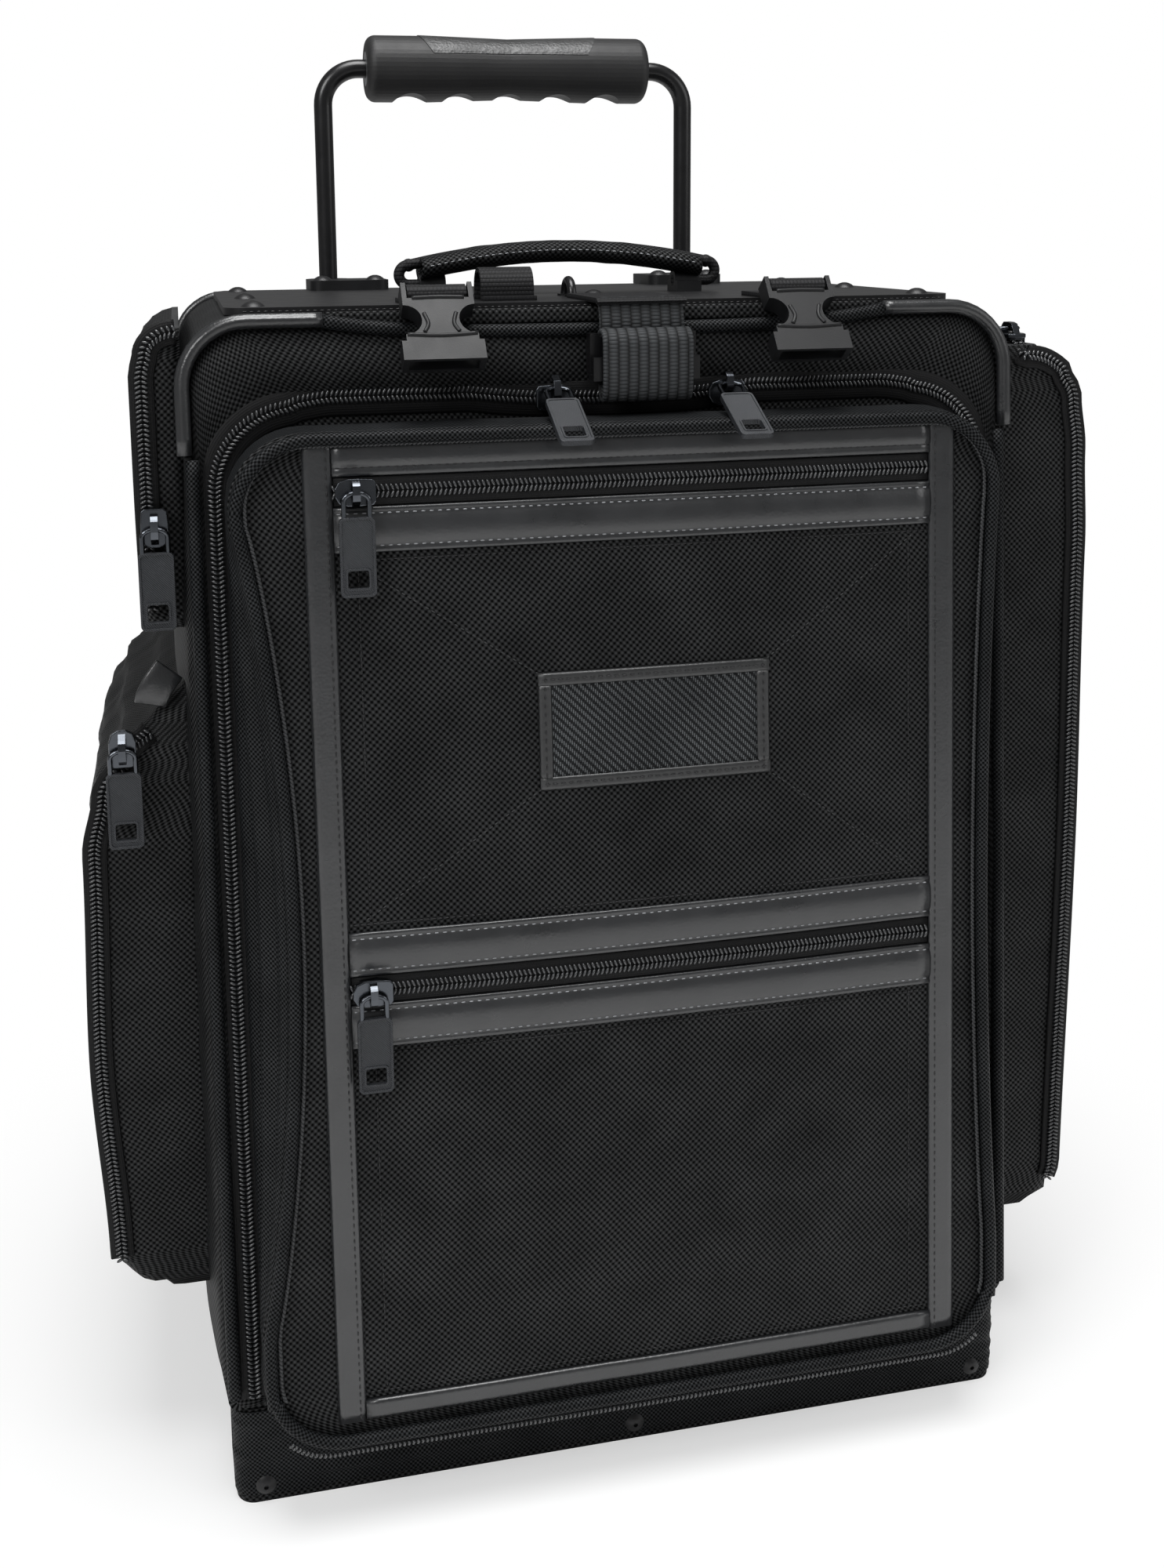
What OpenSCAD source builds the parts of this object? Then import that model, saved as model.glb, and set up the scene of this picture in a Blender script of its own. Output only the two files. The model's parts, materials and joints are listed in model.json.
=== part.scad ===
// Pilot's rolling flight case: a soft-sided case on a rigid plinth with a zipped front
// lid that folds down, three side pockets, an outside telescopic handle and two wheels.
// Millimetres. +Z is up, the front faces -Y, and the origin is on the floor under the
// middle of the body.

/* [Body] */
// Outside width of the body
case_w = 352; // [334:1:370]
// Depth of the body at its top
case_d = 204; // [190:1:224]
// Height of the body's fabric top above the floor
case_h = 499; // [484:1:520]
// How far the front face comes forward between the top and the plinth
front_lean = 34; // [22:1:44]
// Radius of the body's upper corners
top_r = 26; // [20:1:32]
// Radius of the body's lower corners
low_r = 8; // [5:1:12]
// Thickness of the padded shell
shell_t = 4; // [3:0.5:5]
// Thickness of the back panel and of the front border
panel_t = 3; // [2:0.5:4]
// Width of the front border between the body's edge and the lid's opening
border_w = 26; // [22:1:30]
// Radius of the piping cord along the body's front edge
pipe_r = 2.8; // [2:0.1:3.4]
// Radius of the corner guards' bead
guard_r = 4; // [3:0.25:5]
// Length of a corner guard along the top edge
guard_run = 30; // [24:1:44]
// Length of a corner guard down the side
guard_drop = 26; // [15:1:40]
// Width of a frame hoop
hoop_w = 18; // [12:1:24]
// Thickness of a frame hoop
hoop_t = 2; // [1.5:0.5:3]

/* [Plinth and wheels] */
// Height of the plinth
plinth_h = 44; // [40:1:50]
// How much narrower than the body the plinth is
plinth_inset = 2; // [0:0.5:5]
// Wall of the plinth
plinth_t = 4; // [3:0.5:5]
// Radius of the plinth's upright edges
plinth_r = 8; // [5:1:12]
// Diameter of a wheel
wheel_d = 70; // [64:1:76]
// Width of a wheel
wheel_w = 24; // [20:1:26]
// Distance from the body's side to the middle of a wheel
wheel_in = 26; // [24:0.5:32]
// How far a wheel stands out behind the body
wheel_out = 9; // [5:0.5:14]
// Diameter of an axle
axle_d = 8; // [6:0.5:10]
// Clearance between a wheel and its housing
wheel_gap = 3; // [2:0.5:4]
// Wall of a wheel housing
housing_t = 3; // [2:0.5:4]
// Outside diameter of a wheel bearing
bearing_d = 22; // [20:1:26]
// Width of a wheel bearing
bearing_w = 7; // [6:0.5:8]
// Diameter of a wheel's hard hub
hub_d = 46; // [40:1:50]

/* [Telescopic handle] */
// Distance between the two rods
rod_span = 195; // [180:1:214]
// Diameter of the rods
rod_d = 9.5; // [8:0.5:11]
// Height of the grip's axis above the floor
grip_z = 615; // [596:1:640]
// Distance from the back panel to the rods' axis
rod_stand = 12; // [11.5:0.5:16]
// Inside radius of the rod's bends
bend_r = 14; // [10:1:20]
// Length of rod below the top bracket
rod_tail = 330; // [300:1:350]
// Outside diameter of a guide tube
tube_d = 16; // [15:0.5:18]
// Wall of a guide tube
tube_t = 1.8; // [1.2:0.1:2.2]
// Clearance round a sliding rod or plug
slide_gap = 0.06; // [0.04:0.01:0.1]
// Length of the grip
grip_l = 150; // [140:1:166]
// Diameter of the grip
grip_d = 34; // [32:0.5:38]
// Depth of the finger hollows
finger_cut = 4; // [2:0.5:5]
// Thickness of a bracket's flange
flange_t = 5; // [4:0.5:6]

/* [Lid] */
// Distance from the body's side to the lid's side
lid_in = 15; // [11:0.5:22]
// Height of the lid's lower edge above the floor
lid_z = 38; // [34:1:42]
// Height of the lid's upper edge above the floor
lid_top = 455; // [440:1:460]
// Radius of the lid's corners
lid_r = 30; // [24:1:36]
// Depth of the lid's gusset at its upper edge
lid_deep_top = 22.5; // [19:0.5:28]
// Depth of the lid's gusset at its lower edge
lid_deep_low = 18; // [14:1:24]
// Thickness of the lid's gusset and panel
lid_t = 3; // [2:0.5:4]
// Width of the leather-trimmed panel
trim_w = 273; // [254:1:280]
// How far the leather-trimmed panel sits right of the middle
trim_x = 4.5; // [0:0.5:6]
// Width of the upright leather bands
band_w = 11.5; // [9:0.5:14]
// Thickness of the leather
leather_t = 1.6; // [1.2:0.1:2]
// Upper edge of the leather-trimmed panel
trim_top = 447; // [443:0.5:448]
// Lower edge of the leather-trimmed panel
trim_low = 48; // [46:0.5:52]
// Height of the upper panel zip
zip_a_z = 431.5; // [428:0.5:433]
// Height of the lower panel zip
zip_b_z = 230.5; // [220:0.5:240]
// Width of the leather strips beside the panel zips
strip_w = 18; // [15:0.5:20]
// Width of the lower binding
low_band = 8; // [6:0.5:10]
// Width of the name patch, which is left bare
patch_w = 98; // [80:1:110]
// Height of the name patch
patch_h = 48; // [40:1:56]
// Height of the patch's middle
patch_z = 331; // [320:1:345]
// How far the patch sits right of the middle
patch_x = 8; // [0:1:14]

/* [Zips] */
// Width of a zip's tape that shows
tape_w = 12; // [11:0.5:13]
// Thickness of a zip's tape
tape_t = 0.8; // [0.6:0.1:1.2]
// Width of a zip's coil
coil_w = 6.5; // [5.5:0.25:7]
// Height of a zip's coil above its tape
coil_t = 1.5; // [1.2:0.1:1.8]
// Length of a slider
slider_l = 16; // [14:0.5:18]
// Width of a slider
slider_w = 11; // [10:0.5:12]
// Height of a slider above the tape
slider_t = 5; // [4.5:0.25:6]
// Width of a slider's bail
bail_w = 5.2; // [4.5:0.1:5.8]
// Radius of the pull's bar inside the bail
bar_r = 1; // [0.8:0.05:1.2]
// Length of the pull's ring
ring_l = 10.5; // [9:0.5:12]
// Width of the pull's ring
ring_w = 12; // [11.5:0.5:13]
// Length of the pull's plate
plate_l = 30.5; // [26:0.5:34]
// Width of the pull's plate
plate_w = 14; // [13:0.5:15]
// Thickness of the pull's plate
plate_t = 2.4; // [2:0.1:2.8]

/* [Top] */
// Thickness of the top plate
top_plate_t = 3; // [2:0.5:4]
// Width of the top plate
top_plate_w = 316; // [300:1:324]
// Gap between the body's front edge and the top plate
top_plate_set = 8; // [6:1:12]
// Distance between the carry handle's pivots
carry_span = 122; // [114:1:130]
// Height of the carry handle's middle above its pivots
carry_rise = 17; // [15:0.5:24]
// Width of the carry handle's sleeve
carry_w = 22; // [18:1:24]
// Thickness of the carry handle's sleeve
carry_t = 7; // [6:0.5:8]
// Diameter of the carry handle's core
core_d = 5; // [4:0.5:6]
// Width of the centre strap
strap_w = 38; // [34:1:42]
// Thickness of one layer of webbing
web_t = 2; // [1.6:0.1:2.4]
// Distance of the centre strap from the middle
strap_x = 10; // [4:1:14]
// Clearance between the hanging strap and the lid's zip
strap_clear = 2; // [1:0.5:4]
// Distance of each buckle from the middle
buckle_x = 77; // [70:1:80]
// How far the pair of buckles sits right of the middle
buckle_shift = 3; // [0:0.5:5]
// Length of a buckle
buckle_l = 37; // [34:1:40]
// Width of a buckle at its mouth
buckle_w = 33; // [31:0.5:34]
// Thickness of a buckle
buckle_t = 9; // [8:0.5:10]
// Width of the buckles' webbing
buckle_web = 24; // [20:1:25]
// Angle at which the buckles hang below the level
buckle_tilt = 52; // [40:1:54]

/* [Side pockets] */
// How far the left upper pocket stands out
upper_out = 20; // [16:1:24]
// Height of the left upper pocket's lower edge
upper_low = 374; // [366:1:380]
// Height of the left upper pocket's upper edge
upper_top = 494; // [486:1:496]
// How far the left lower pouch stands out
pouch_out = 44; // [34:1:50]
// Height of the left lower pouch's lower edge
pouch_low = 84; // [78:1:92]
// Height of the left lower pouch's upper edge
pouch_top = 356; // [348:1:362]
// How far the right pocket stands out
right_out = 48; // [38:1:54]
// Height of the right pocket's lower edge
right_low = 64; // [56:1:72]
// Height of the right pocket's upper edge
right_top = 478; // [466:1:484]
// Depth of the side pockets from front to back
pocket_d = 188; // [170:1:196]

/* [Hidden] */
$fn = 48;

nylon = [0.09, 0.09, 0.095];
web_black = [0.11, 0.11, 0.115];
leather = [0.22, 0.225, 0.23];
gunmetal = [0.16, 0.16, 0.17];
black_steel = [0.07, 0.07, 0.075];
soft_grip = [0.14, 0.14, 0.145];
moulded = [0.1, 0.1, 0.105];
alloy = [0.6, 0.61, 0.62];

eps = 0.02;
big = 900;
seat = 0.05;
front_y = -case_d / 2;
back_y = case_d / 2;
low_front_y = front_y - front_lean;
face_tilt = atan(front_lean / (case_h - plinth_h));
function face_y(z) = front_y - (case_h - z) * tan(face_tilt);
function face_s(z) = (z - plinth_h) / cos(face_tilt);

plinth_w = case_w - 2 * plinth_inset;
wheel_r = wheel_d / 2;
wheel_y = back_y + wheel_out - wheel_r;
wheel_track = case_w - 2 * wheel_in;
housing_w = wheel_w + 2 * (wheel_gap + housing_t);
housing_r = wheel_r + wheel_gap + housing_t;
axle_r = axle_d / 2;
axle_head_r = axle_r + 2.5;
axle_head_t = 1.5;

rod_r = rod_d / 2;
rod_x = rod_span / 2;
rod_y = back_y + rod_stand;
bend_c = bend_r + rod_r;
plate_z = case_h + top_plate_t;
bracket_z = plate_z + flange_t;
bracket_w = 40;
bracket_shift = 8;
bracket_in = 24;
bracket_back = rod_y + tube_d / 2 + 3;
bracket_h = 22;
foot_low = 80;
foot_h = 26;
foot_plate_w = 48;
foot_plate_t = 3;
tube_low = foot_low + 8;
tube_top = plate_z - 4;
rod_low = tube_top - rod_tail;
plug_l = 24;
dome_r = 5;
dome_h = 2.4;

grip_r = grip_d / 2;
finger_n = 5;
finger_pitch = 26;
finger_r = 13;
collar_r = rod_r + 4;
collar_t = 2;
inset_long = 58;
inset_short = 41;
inset_z = 7;
inset_deep = 2.5;

lid_w = case_w - 2 * lid_in;
lid_h = lid_top - lid_z;
lid_low_y = face_y(lid_z) - lid_deep_low;
lid_high_y = face_y(lid_top) - lid_deep_top;
lid_tilt = atan((lid_high_y - lid_low_y) / lid_h);
function lid_u(z) = (z - lid_z) / cos(lid_tilt);
function lid_y(z) = lid_low_y + (z - lid_z) * tan(lid_tilt);
lid_lift = 0.4;
hinge_hem = 3;
lid_pipe_r = 2.6;
trim_gap = 0.3;
fabric_t = 1;
inner_w = trim_w - 2 * band_w;
lid_zip_off = 8;
lid_zip_side = 4;
zip_hem = 0.5;
lid_hinge_y = low_front_y - 10;
lid_hinge_z = lid_z - 2;
lid_zip_high = lid_top + lid_zip_off + coil_w / 2 + zip_hem;
lid_sweep = lid_hinge_z + norm([face_y(lid_zip_high) - lid_hinge_y, lid_zip_high - lid_hinge_z]);
strap_low_z = lid_sweep + strap_clear;

slider_gap = 0.3;
bail_wall = 1.5;
bail_gap = 0.3;
pull_lift = 0.7;
hinge_out = slider_t + bail_gap + bar_r + pull_lift;
hinge_up = 4;
slot_w = 8.2;
slot_h = 7;
slot_margin = 3.6;
lid_slider_x = [-26, 48];
panel_slider_x = -112;
upper_slider_z = 416;
pouch_slider_z = 326;
right_slider_y = 12;
right_pull_drop = asin((hinge_out - plate_t / 2 - coil_t - slider_gap) / (ring_l + plate_l));

// The lid's top pulls rest on the lid's bead: their hinge, the bead, and the angle between.
top_pull_off = lid_lift + tape_t + hinge_out;
top_pull_z = lid_top + (lid_zip_off + hinge_up) * cos(face_tilt) + top_pull_off * sin(face_tilt);
top_pull_y = face_y(lid_top + (lid_zip_off + hinge_up) * cos(face_tilt)) - top_pull_off * cos(face_tilt);
bead_off = lid_t + lid_pipe_r + seat;
bead_y = lid_high_y - bead_off * cos(lid_tilt);
bead_z = lid_top - lid_pipe_r + bead_off * sin(lid_tilt);
bead_far = norm([top_pull_y - bead_y, top_pull_z - bead_z]);
bead_down = atan2(top_pull_z - bead_z, top_pull_y - bead_y);
lid_pull_down = bead_down - asin((lid_pipe_r + plate_t / 2 + slider_gap) / bead_far);

carry_y = -8;
carry_z = plate_z + core_d / 2 + 2.6;
carry_curl_r = 4.5;
anchor_w = 12;
anchor_d = 16;
anchor_h = carry_z + core_d / 2 + 2.5 - plate_z;
pipe_front = front_y - 2 * pipe_r - seat - 1;
fold_in = web_t + 0.3;
fold_far = 2 * (fold_in + web_t);
fold_rise = 40;
strap_axis_y = pipe_front - web_t - 0.3;
strap_axis_z = plate_z - fold_in;
strap_drop = strap_axis_z - strap_low_z;
buckle_axis_y = front_y - 2;
buckle_tail = 3;
bar_d = 3.8;
web_ring_in = bar_d / 2 + 0.3;
buckle_axis_z = plate_z + web_ring_in + web_t;

web_run = 34;
web_tail = 26;
loop_x = -38;
loop_set = 38;
tie_x = -4;
tie_set = 60;

pocket_front = front_y + 2;
zip_edge = 7;
upper_x = -case_w / 2 - upper_out + zip_edge;
pouch_x = -case_w / 2 - 30;
right_x = case_w / 2 + 36;
right_slider_x = case_w / 2 + 13;

// ---------- shared shapes ----------

// Upright outline on the XZ plane, its lower edge on z = 0, with round corners.
module outline(w, h, rt, rb) {
    translate([-w / 2, rb]) square([w, h - rt - rb]);
    translate([-w / 2 + rt, h - rt]) square([w - 2 * rt, rt]);
    translate([-w / 2 + rb, 0]) square([w - 2 * rb, rb]);
    for (side = [-1, 1]) {
        translate([side * (w / 2 - rt), h - rt]) circle(rt);
        translate([side * (w / 2 - rb), rb]) circle(rb);
    }
}

// Ring between an outline and the same outline set in by t.
module ring_outline(w, h, rt, rb, t) {
    difference() {
        outline(w, h, rt, rb);
        translate([0, t]) outline(w - 2 * t, h - 2 * t, rt - t, max(rb - t, 1));
    }
}

// Extrudes a drawing on the XZ plane along Y, from y0 to y1.
module along_y(y0, y1) {
    translate([0, y1, 0]) rotate([90, 0, 0]) linear_extrude(y1 - y0) children();
}

// Frame of the leaning front face: local y = 0 is the face and +Y goes inside.
module on_face() {
    translate([0, low_front_y, plinth_h]) rotate([-face_tilt, 0, 0]) children();
}

// Frame of the lid's panel: local y = 0 is the panel's back and -Y goes outside.
module on_lid() {
    translate([0, lid_low_y, lid_z]) rotate([-lid_tilt, 0, 0]) children();
}

// Everything in front of the leaning face, from a distance off it.
module before_face(off = 0) {
    on_face() translate([-big / 2, -big - off, -big / 2]) cube([big, big, 2 * big]);
}

module before_lid() {
    on_lid() translate([-big / 2, -big, -big / 2]) cube([big, big, 2 * big]);
}

// Round bar along X between two ends.
module bar_x(x0, x1, r) {
    translate([x0, 0, 0]) rotate([0, 90, 0]) cylinder(r = r, h = x1 - x0);
}

// Domed head that stands out along +Z, with a drive hole in it.
module dome(r, h) {
    difference() {
        intersection() {
            cylinder(r = r, h = h);
            translate([0, 0, h - (r * r + h * h) / (2 * h)]) sphere(r = (r * r + h * h) / (2 * h));
        }
        translate([0, 0, h / 2]) cylinder(r = r / 5, h = h);
    }
}

// Closed bead round an outline in the XZ plane, with one corner radius.
module bead_ring(w, h, rc, r) {
    for (side = [-1, 1]) {
        translate([side * w / 2, 0, rc]) cylinder(r = r, h = h - 2 * rc);
        translate([0, 0, side < 0 ? 0 : h]) bar_x(-w / 2 + rc, w / 2 - rc, r);
    }
    for (corner = [[1, 1, 0], [-1, 1, 90], [-1, -1, 180], [1, -1, 270]]) {
        translate([corner[0] * (w / 2 - rc), 0, h / 2 + corner[1] * (h / 2 - rc)])
            rotate([90, 0, 0])
                rotate([0, 0, corner[2]])
                    rotate_extrude(angle = 90) translate([rc, 0]) circle(r);
    }
}

// ---------- plinth and wheels ----------

module wheel_bays(grow = 0) {
    for (side = [-1, 1]) {
        translate([side * wheel_track / 2 - housing_w / 2 - grow, wheel_y - housing_r - grow, -1])
            cube([housing_w + 2 * grow, big, wheel_r + housing_r + 1 + grow]);
    }
}

module base_plinth() {
    deep = back_y - low_front_y;
    color(nylon) difference() {
        translate([0, low_front_y, 0])
            linear_extrude(plinth_h) outline(plinth_w, deep, plinth_r, plinth_r);
        translate([0, low_front_y + plinth_t, plinth_t])
            linear_extrude(plinth_h)
                outline(plinth_w - 2 * plinth_t, deep - 2 * plinth_t, plinth_r / 2, plinth_r / 2);
        wheel_bays();
    }
}

module fender(r, w) {
    bar_x(-w / 2, w / 2, r);
    translate([-w / 2, 0, -wheel_r]) cube([w, big, wheel_r + r]);
    translate([-w / 2, -r, -wheel_r]) cube([w, r, wheel_r]);
}

module wheel_housings() {
    for (side = [-1, 1]) {
        color(moulded) intersection() {
            translate([side * wheel_track / 2, wheel_y, wheel_r]) difference() {
                fender(housing_r, housing_w);
                fender(housing_r - housing_t, housing_w - 2 * housing_t);
                bar_x(-housing_w, housing_w, axle_r);
            }
            translate([-big / 2, -big / 2, 0]) cube([big, big / 2 + back_y, big]);
        }
    }
}

module tyre(side) {
    shoulder = 5;
    color("dimgray") translate([side * wheel_track / 2, wheel_y, wheel_r]) rotate([0, 90, 0])
        rotate_extrude() {
            translate([hub_d / 2, -wheel_w / 2]) square([wheel_r - shoulder - hub_d / 2, wheel_w]);
            translate([wheel_r - shoulder - eps, -wheel_w / 2 + shoulder])
                square([shoulder + eps, wheel_w - 2 * shoulder]);
            for (edge = [-1, 1]) {
                translate([wheel_r - shoulder, edge * (wheel_w / 2 - shoulder)]) circle(shoulder);
            }
        }
}

module hub(side) {
    spoke_n = 5;
    window_r = 3.2;
    window_at = (bearing_d / 2 + hub_d / 2) / 2;
    color(moulded) translate([side * wheel_track / 2, wheel_y, wheel_r]) rotate([0, 90, 0])
        difference() {
            translate([0, 0, -wheel_w / 2]) cylinder(r = hub_d / 2, h = wheel_w);
            translate([0, 0, -wheel_w]) cylinder(r = axle_r + 1.5, h = 2 * wheel_w);
            for (edge = [-1, 1]) {
                translate([0, 0, edge * (wheel_w / 2 - bearing_w / 2)])
                    cylinder(r = bearing_d / 2, h = bearing_w + 2 * eps, center = true);
            }
            for (k = [0 : spoke_n - 1]) {
                rotate([0, 0, k * 360 / spoke_n]) translate([window_at, 0, -wheel_w])
                    cylinder(r = window_r, h = 2 * wheel_w);
            }
        }
}

module bearings(side) {
    color(alloy) translate([side * wheel_track / 2, wheel_y, wheel_r]) rotate([0, 90, 0])
        for (edge = [-1, 1]) {
            translate([0, 0, edge * (wheel_w / 2 - bearing_w / 2)]) difference() {
                cylinder(r = bearing_d / 2, h = bearing_w, center = true);
                cylinder(r = axle_r + slide_gap, h = 2 * bearing_w, center = true);
            }
        }
}

module axles() {
    for (side = [-1, 1]) {
        color(alloy) translate([side * wheel_track / 2, wheel_y, wheel_r]) {
            bar_x(-housing_w / 2 - axle_head_t, housing_w / 2 + axle_head_t, axle_r);
            for (edge = [-1, 1]) {
                translate([edge * (housing_w / 2 + axle_head_t / 2), 0, 0])
                    bar_x(-axle_head_t / 2, axle_head_t / 2, axle_head_r);
            }
        }
    }
}

// ---------- body ----------

module body_shell() {
    h = case_h - plinth_h;
    color(nylon) difference() {
        translate([0, 0, plinth_h]) along_y(low_front_y - 2, back_y)
            ring_outline(case_w, h, top_r, low_r, shell_t);
        before_face();
        wheel_bays();
    }
}

module back_panel() {
    h = case_h - plinth_h - 2 * shell_t;
    color(nylon) difference() {
        translate([0, 0, plinth_h + shell_t]) along_y(back_y - panel_t, back_y)
            outline(case_w - 2 * shell_t, h, top_r - shell_t, low_r - shell_t);
        wheel_bays();
    }
}

module front_border() {
    h = case_h - plinth_h - 2 * shell_t;
    hole_low = lid_z + lid_t + 9;
    hole_h = lid_top - lid_t - 4 - hole_low;
    color(nylon) difference() {
        translate([0, 0, plinth_h + shell_t]) along_y(low_front_y - 2, back_y)
            outline(case_w - 2 * shell_t, h, top_r - shell_t, low_r - shell_t);
        before_face();
        on_face() translate([-big / 2, panel_t, -big / 2]) cube([big, big, 2 * big]);
        translate([0, 0, hole_low]) along_y(low_front_y - 9, back_y)
            outline(case_w - 2 * border_w, hole_h, lid_r - 8, lid_r - 8);
    }
}

module frame_hoops() {
    h = case_h - plinth_h - 2 * shell_t;
    hoop_places = [front_y + 4, back_y - panel_t - hoop_w];
    for (y = hoop_places) {
        color(alloy) difference() {
            translate([0, 0, plinth_h + shell_t]) along_y(y, y + hoop_w)
                ring_outline(case_w - 2 * shell_t, h, top_r - shell_t, low_r - shell_t, hoop_t);
            wheel_bays(1);
        }
    }
}

module front_piping() {
    side_x = case_w / 2 - pipe_r;
    run_low = 6;
    run_top = face_s(case_h) - guard_r / 2 - top_r - guard_drop - seat;
    top_run = case_w / 2 - top_r - guard_run - seat;
    color(nylon) on_face() translate([0, -pipe_r - seat, 0]) {
        for (side = [-1, 1]) {
            translate([side * side_x, 0, run_low]) cylinder(r = pipe_r, h = run_top - run_low);
        }
        translate([0, 0, face_s(case_h) - 3 * pipe_r]) bar_x(-top_run, top_run, pipe_r);
    }
}

module corner_guards() {
    edge = face_s(case_h) - guard_r / 2;
    for (side = [-1, 1]) {
        color(leather) mirror([side < 0 ? 1 : 0, 0, 0]) on_face()
            translate([case_w / 2 - top_r, -guard_r - seat, edge - top_r]) {
                rotate([90, 0, 0]) rotate_extrude(angle = 90) translate([top_r, 0]) circle(guard_r);
                translate([0, 0, top_r]) bar_x(-guard_run, 0, guard_r);
                translate([top_r, 0, -guard_drop]) cylinder(r = guard_r, h = guard_drop);
            }
    }
}

// ---------- top ----------

module top_plate() {
    corner = 10;
    y0 = front_y + top_plate_set;
    color(gunmetal) translate([0, y0, case_h])
        linear_extrude(top_plate_t) outline(top_plate_w, back_y - y0 - 2, corner, corner);
}

module rivets() {
    top_x = top_plate_w / 2 - 12;
    base_in = 12;
    base_up = 8;
    color(gunmetal) {
        for (x = [-plinth_w / 2 + base_in, 0, plinth_w / 2 - base_in]) {
            translate([x, low_front_y, base_up]) rotate([90, 0, 0]) dome(dome_r, dome_h);
        }
        for (x = [-top_x, top_x], y = [front_y + top_plate_set + 12, 0, back_y - 14]) {
            translate([x, y, plate_z]) dome(dome_r, dome_h);
        }
        translate([strap_x, front_y + 70, plate_z]) dome(dome_r, dome_h);
    }
}

module handle_brackets() {
    for (side = [-1, 1]) {
        color(moulded) translate([side * rod_x, 0, 0]) difference() {
            union() {
                translate([-side * bracket_shift, back_y - bracket_in, plate_z])
                    linear_extrude(flange_t)
                        outline(bracket_w, bracket_back - back_y + bracket_in - 9, 3, 6);
                translate([-side * bracket_shift - bracket_w / 2, back_y, bracket_z - bracket_h])
                    cube([bracket_w, bracket_back - back_y - 12, bracket_h - eps]);
                translate([0, rod_y, bracket_z - bracket_h]) cylinder(r = tube_d / 2 + 3, h = bracket_h - eps);
            }
            translate([0, rod_y, 0]) cylinder(r = rod_r + slide_gap, h = big);
            translate([0, rod_y, 0]) cylinder(r = tube_d / 2, h = tube_top);
        }
    }
}

module bracket_screws() {
    screw_x = bracket_w / 2 - 6.5;
    foot_x = foot_plate_w / 2 - 6;
    for (side = [-1, 1], dx = [-1, 1]) {
        color(alloy) translate([side * (rod_x - bracket_shift) + dx * screw_x, back_y - bracket_in + 9, bracket_z])
            dome(dome_r, dome_h);
        color(alloy) translate([side * rod_x + dx * foot_x, back_y + foot_plate_t, foot_low + foot_h / 2])
            rotate([-90, 0, 0]) dome(dome_r - 1, dome_h);
    }
}

module guide_tubes() {
    for (side = [-1, 1]) {
        color(gunmetal) translate([side * rod_x, rod_y, tube_low]) difference() {
            cylinder(r = tube_d / 2, h = tube_top - tube_low);
            translate([0, 0, -1]) cylinder(r = tube_d / 2 - tube_t, h = tube_top - tube_low + 2);
        }
    }
}

module foot_brackets() {
    for (side = [-1, 1]) {
        color(moulded) translate([side * rod_x, 0, foot_low]) difference() {
            union() {
                translate([-foot_plate_w / 2, back_y, 0]) cube([foot_plate_w, foot_plate_t, foot_h]);
                translate([-tube_d / 2, back_y, 0]) cube([tube_d, rod_stand, foot_h]);
                translate([0, rod_y, 0]) cylinder(r = tube_d / 2 + 3, h = foot_h);
            }
            translate([0, rod_y, tube_low - foot_low]) cylinder(r = tube_d / 2, h = foot_h);
        }
    }
}

// ---------- telescopic handle ----------

module pull_rod() {
    color(black_steel) translate([0, rod_y, 0]) {
        for (side = [-1, 1]) {
            translate([side * rod_x, 0, rod_low]) cylinder(r = rod_r, h = grip_z - bend_c - rod_low);
        }
        translate([0, 0, grip_z]) bar_x(-rod_x + bend_c, rod_x - bend_c, rod_r);
        for (corner = [[1, 0], [-1, 90]]) {
            translate([corner[0] * (rod_x - bend_c), 0, grip_z - bend_c]) rotate([90, 0, 0])
                rotate([0, 0, corner[1]]) rotate_extrude(angle = 90) translate([bend_c, 0]) circle(rod_r);
        }
    }
}

// Solid of the grip: a bar with round shoulders and a shallow waist.
module grip_form(grow = 0) {
    shoulder = 5;
    waist = 1.5;
    r = grip_r + grow;
    rotate([0, 90, 0]) rotate_extrude() difference() {
        union() {
            translate([0, -grip_l / 2 + shoulder]) square([r, grip_l - 2 * shoulder]);
            translate([0, -grip_l / 2]) square([r - shoulder, grip_l]);
            for (end = [-1, 1]) {
                translate([r - shoulder, end * (grip_l / 2 - shoulder)]) circle(shoulder);
            }
        }
        translate([r + (grip_l * grip_l / 9) / (2 * waist) - waist, 0])
            circle(r = (grip_l * grip_l / 9) / (2 * waist), $fn = 96);
    }
}

// Prism of the textured inset, seen from the front.
module inset_prism() {
    along_y(-grip_d, grip_d)
        polygon([[-inset_short, inset_z], [inset_short, inset_z], [inset_long, grip_d], [-inset_long, grip_d]]);
}

module grip() {
    color(soft_grip) translate([0, rod_y, grip_z]) difference() {
        grip_form();
        bar_x(-grip_l, grip_l, rod_r + slide_gap);
        for (end = [-1, 1]) {
            translate([end * grip_l / 2, 0, 0]) bar_x(-collar_t - seat, collar_t + seat, collar_r + seat);
        }
        for (k = [0 : finger_n - 1]) {
            translate([(k - (finger_n - 1) / 2) * finger_pitch, 0, -grip_r - finger_r + finger_cut])
                rotate([90, 0, 0]) cylinder(r = finger_r, h = 2 * grip_d, center = true);
        }
        intersection() {
            inset_prism();
            difference() {
                bar_x(-grip_l / 2, grip_l / 2, grip_d);
                bar_x(-grip_l, grip_l, grip_r - inset_deep - 1);
            }
        }
    }
}

module grip_inset() {
    color(soft_grip) translate([0, rod_y, grip_z]) intersection() {
        grip_form(0.3);
        inset_prism();
        difference() {
            bar_x(-grip_l / 2, grip_l / 2, grip_d);
            bar_x(-grip_l, grip_l, grip_r - inset_deep - 1);
        }
    }
}

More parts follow.
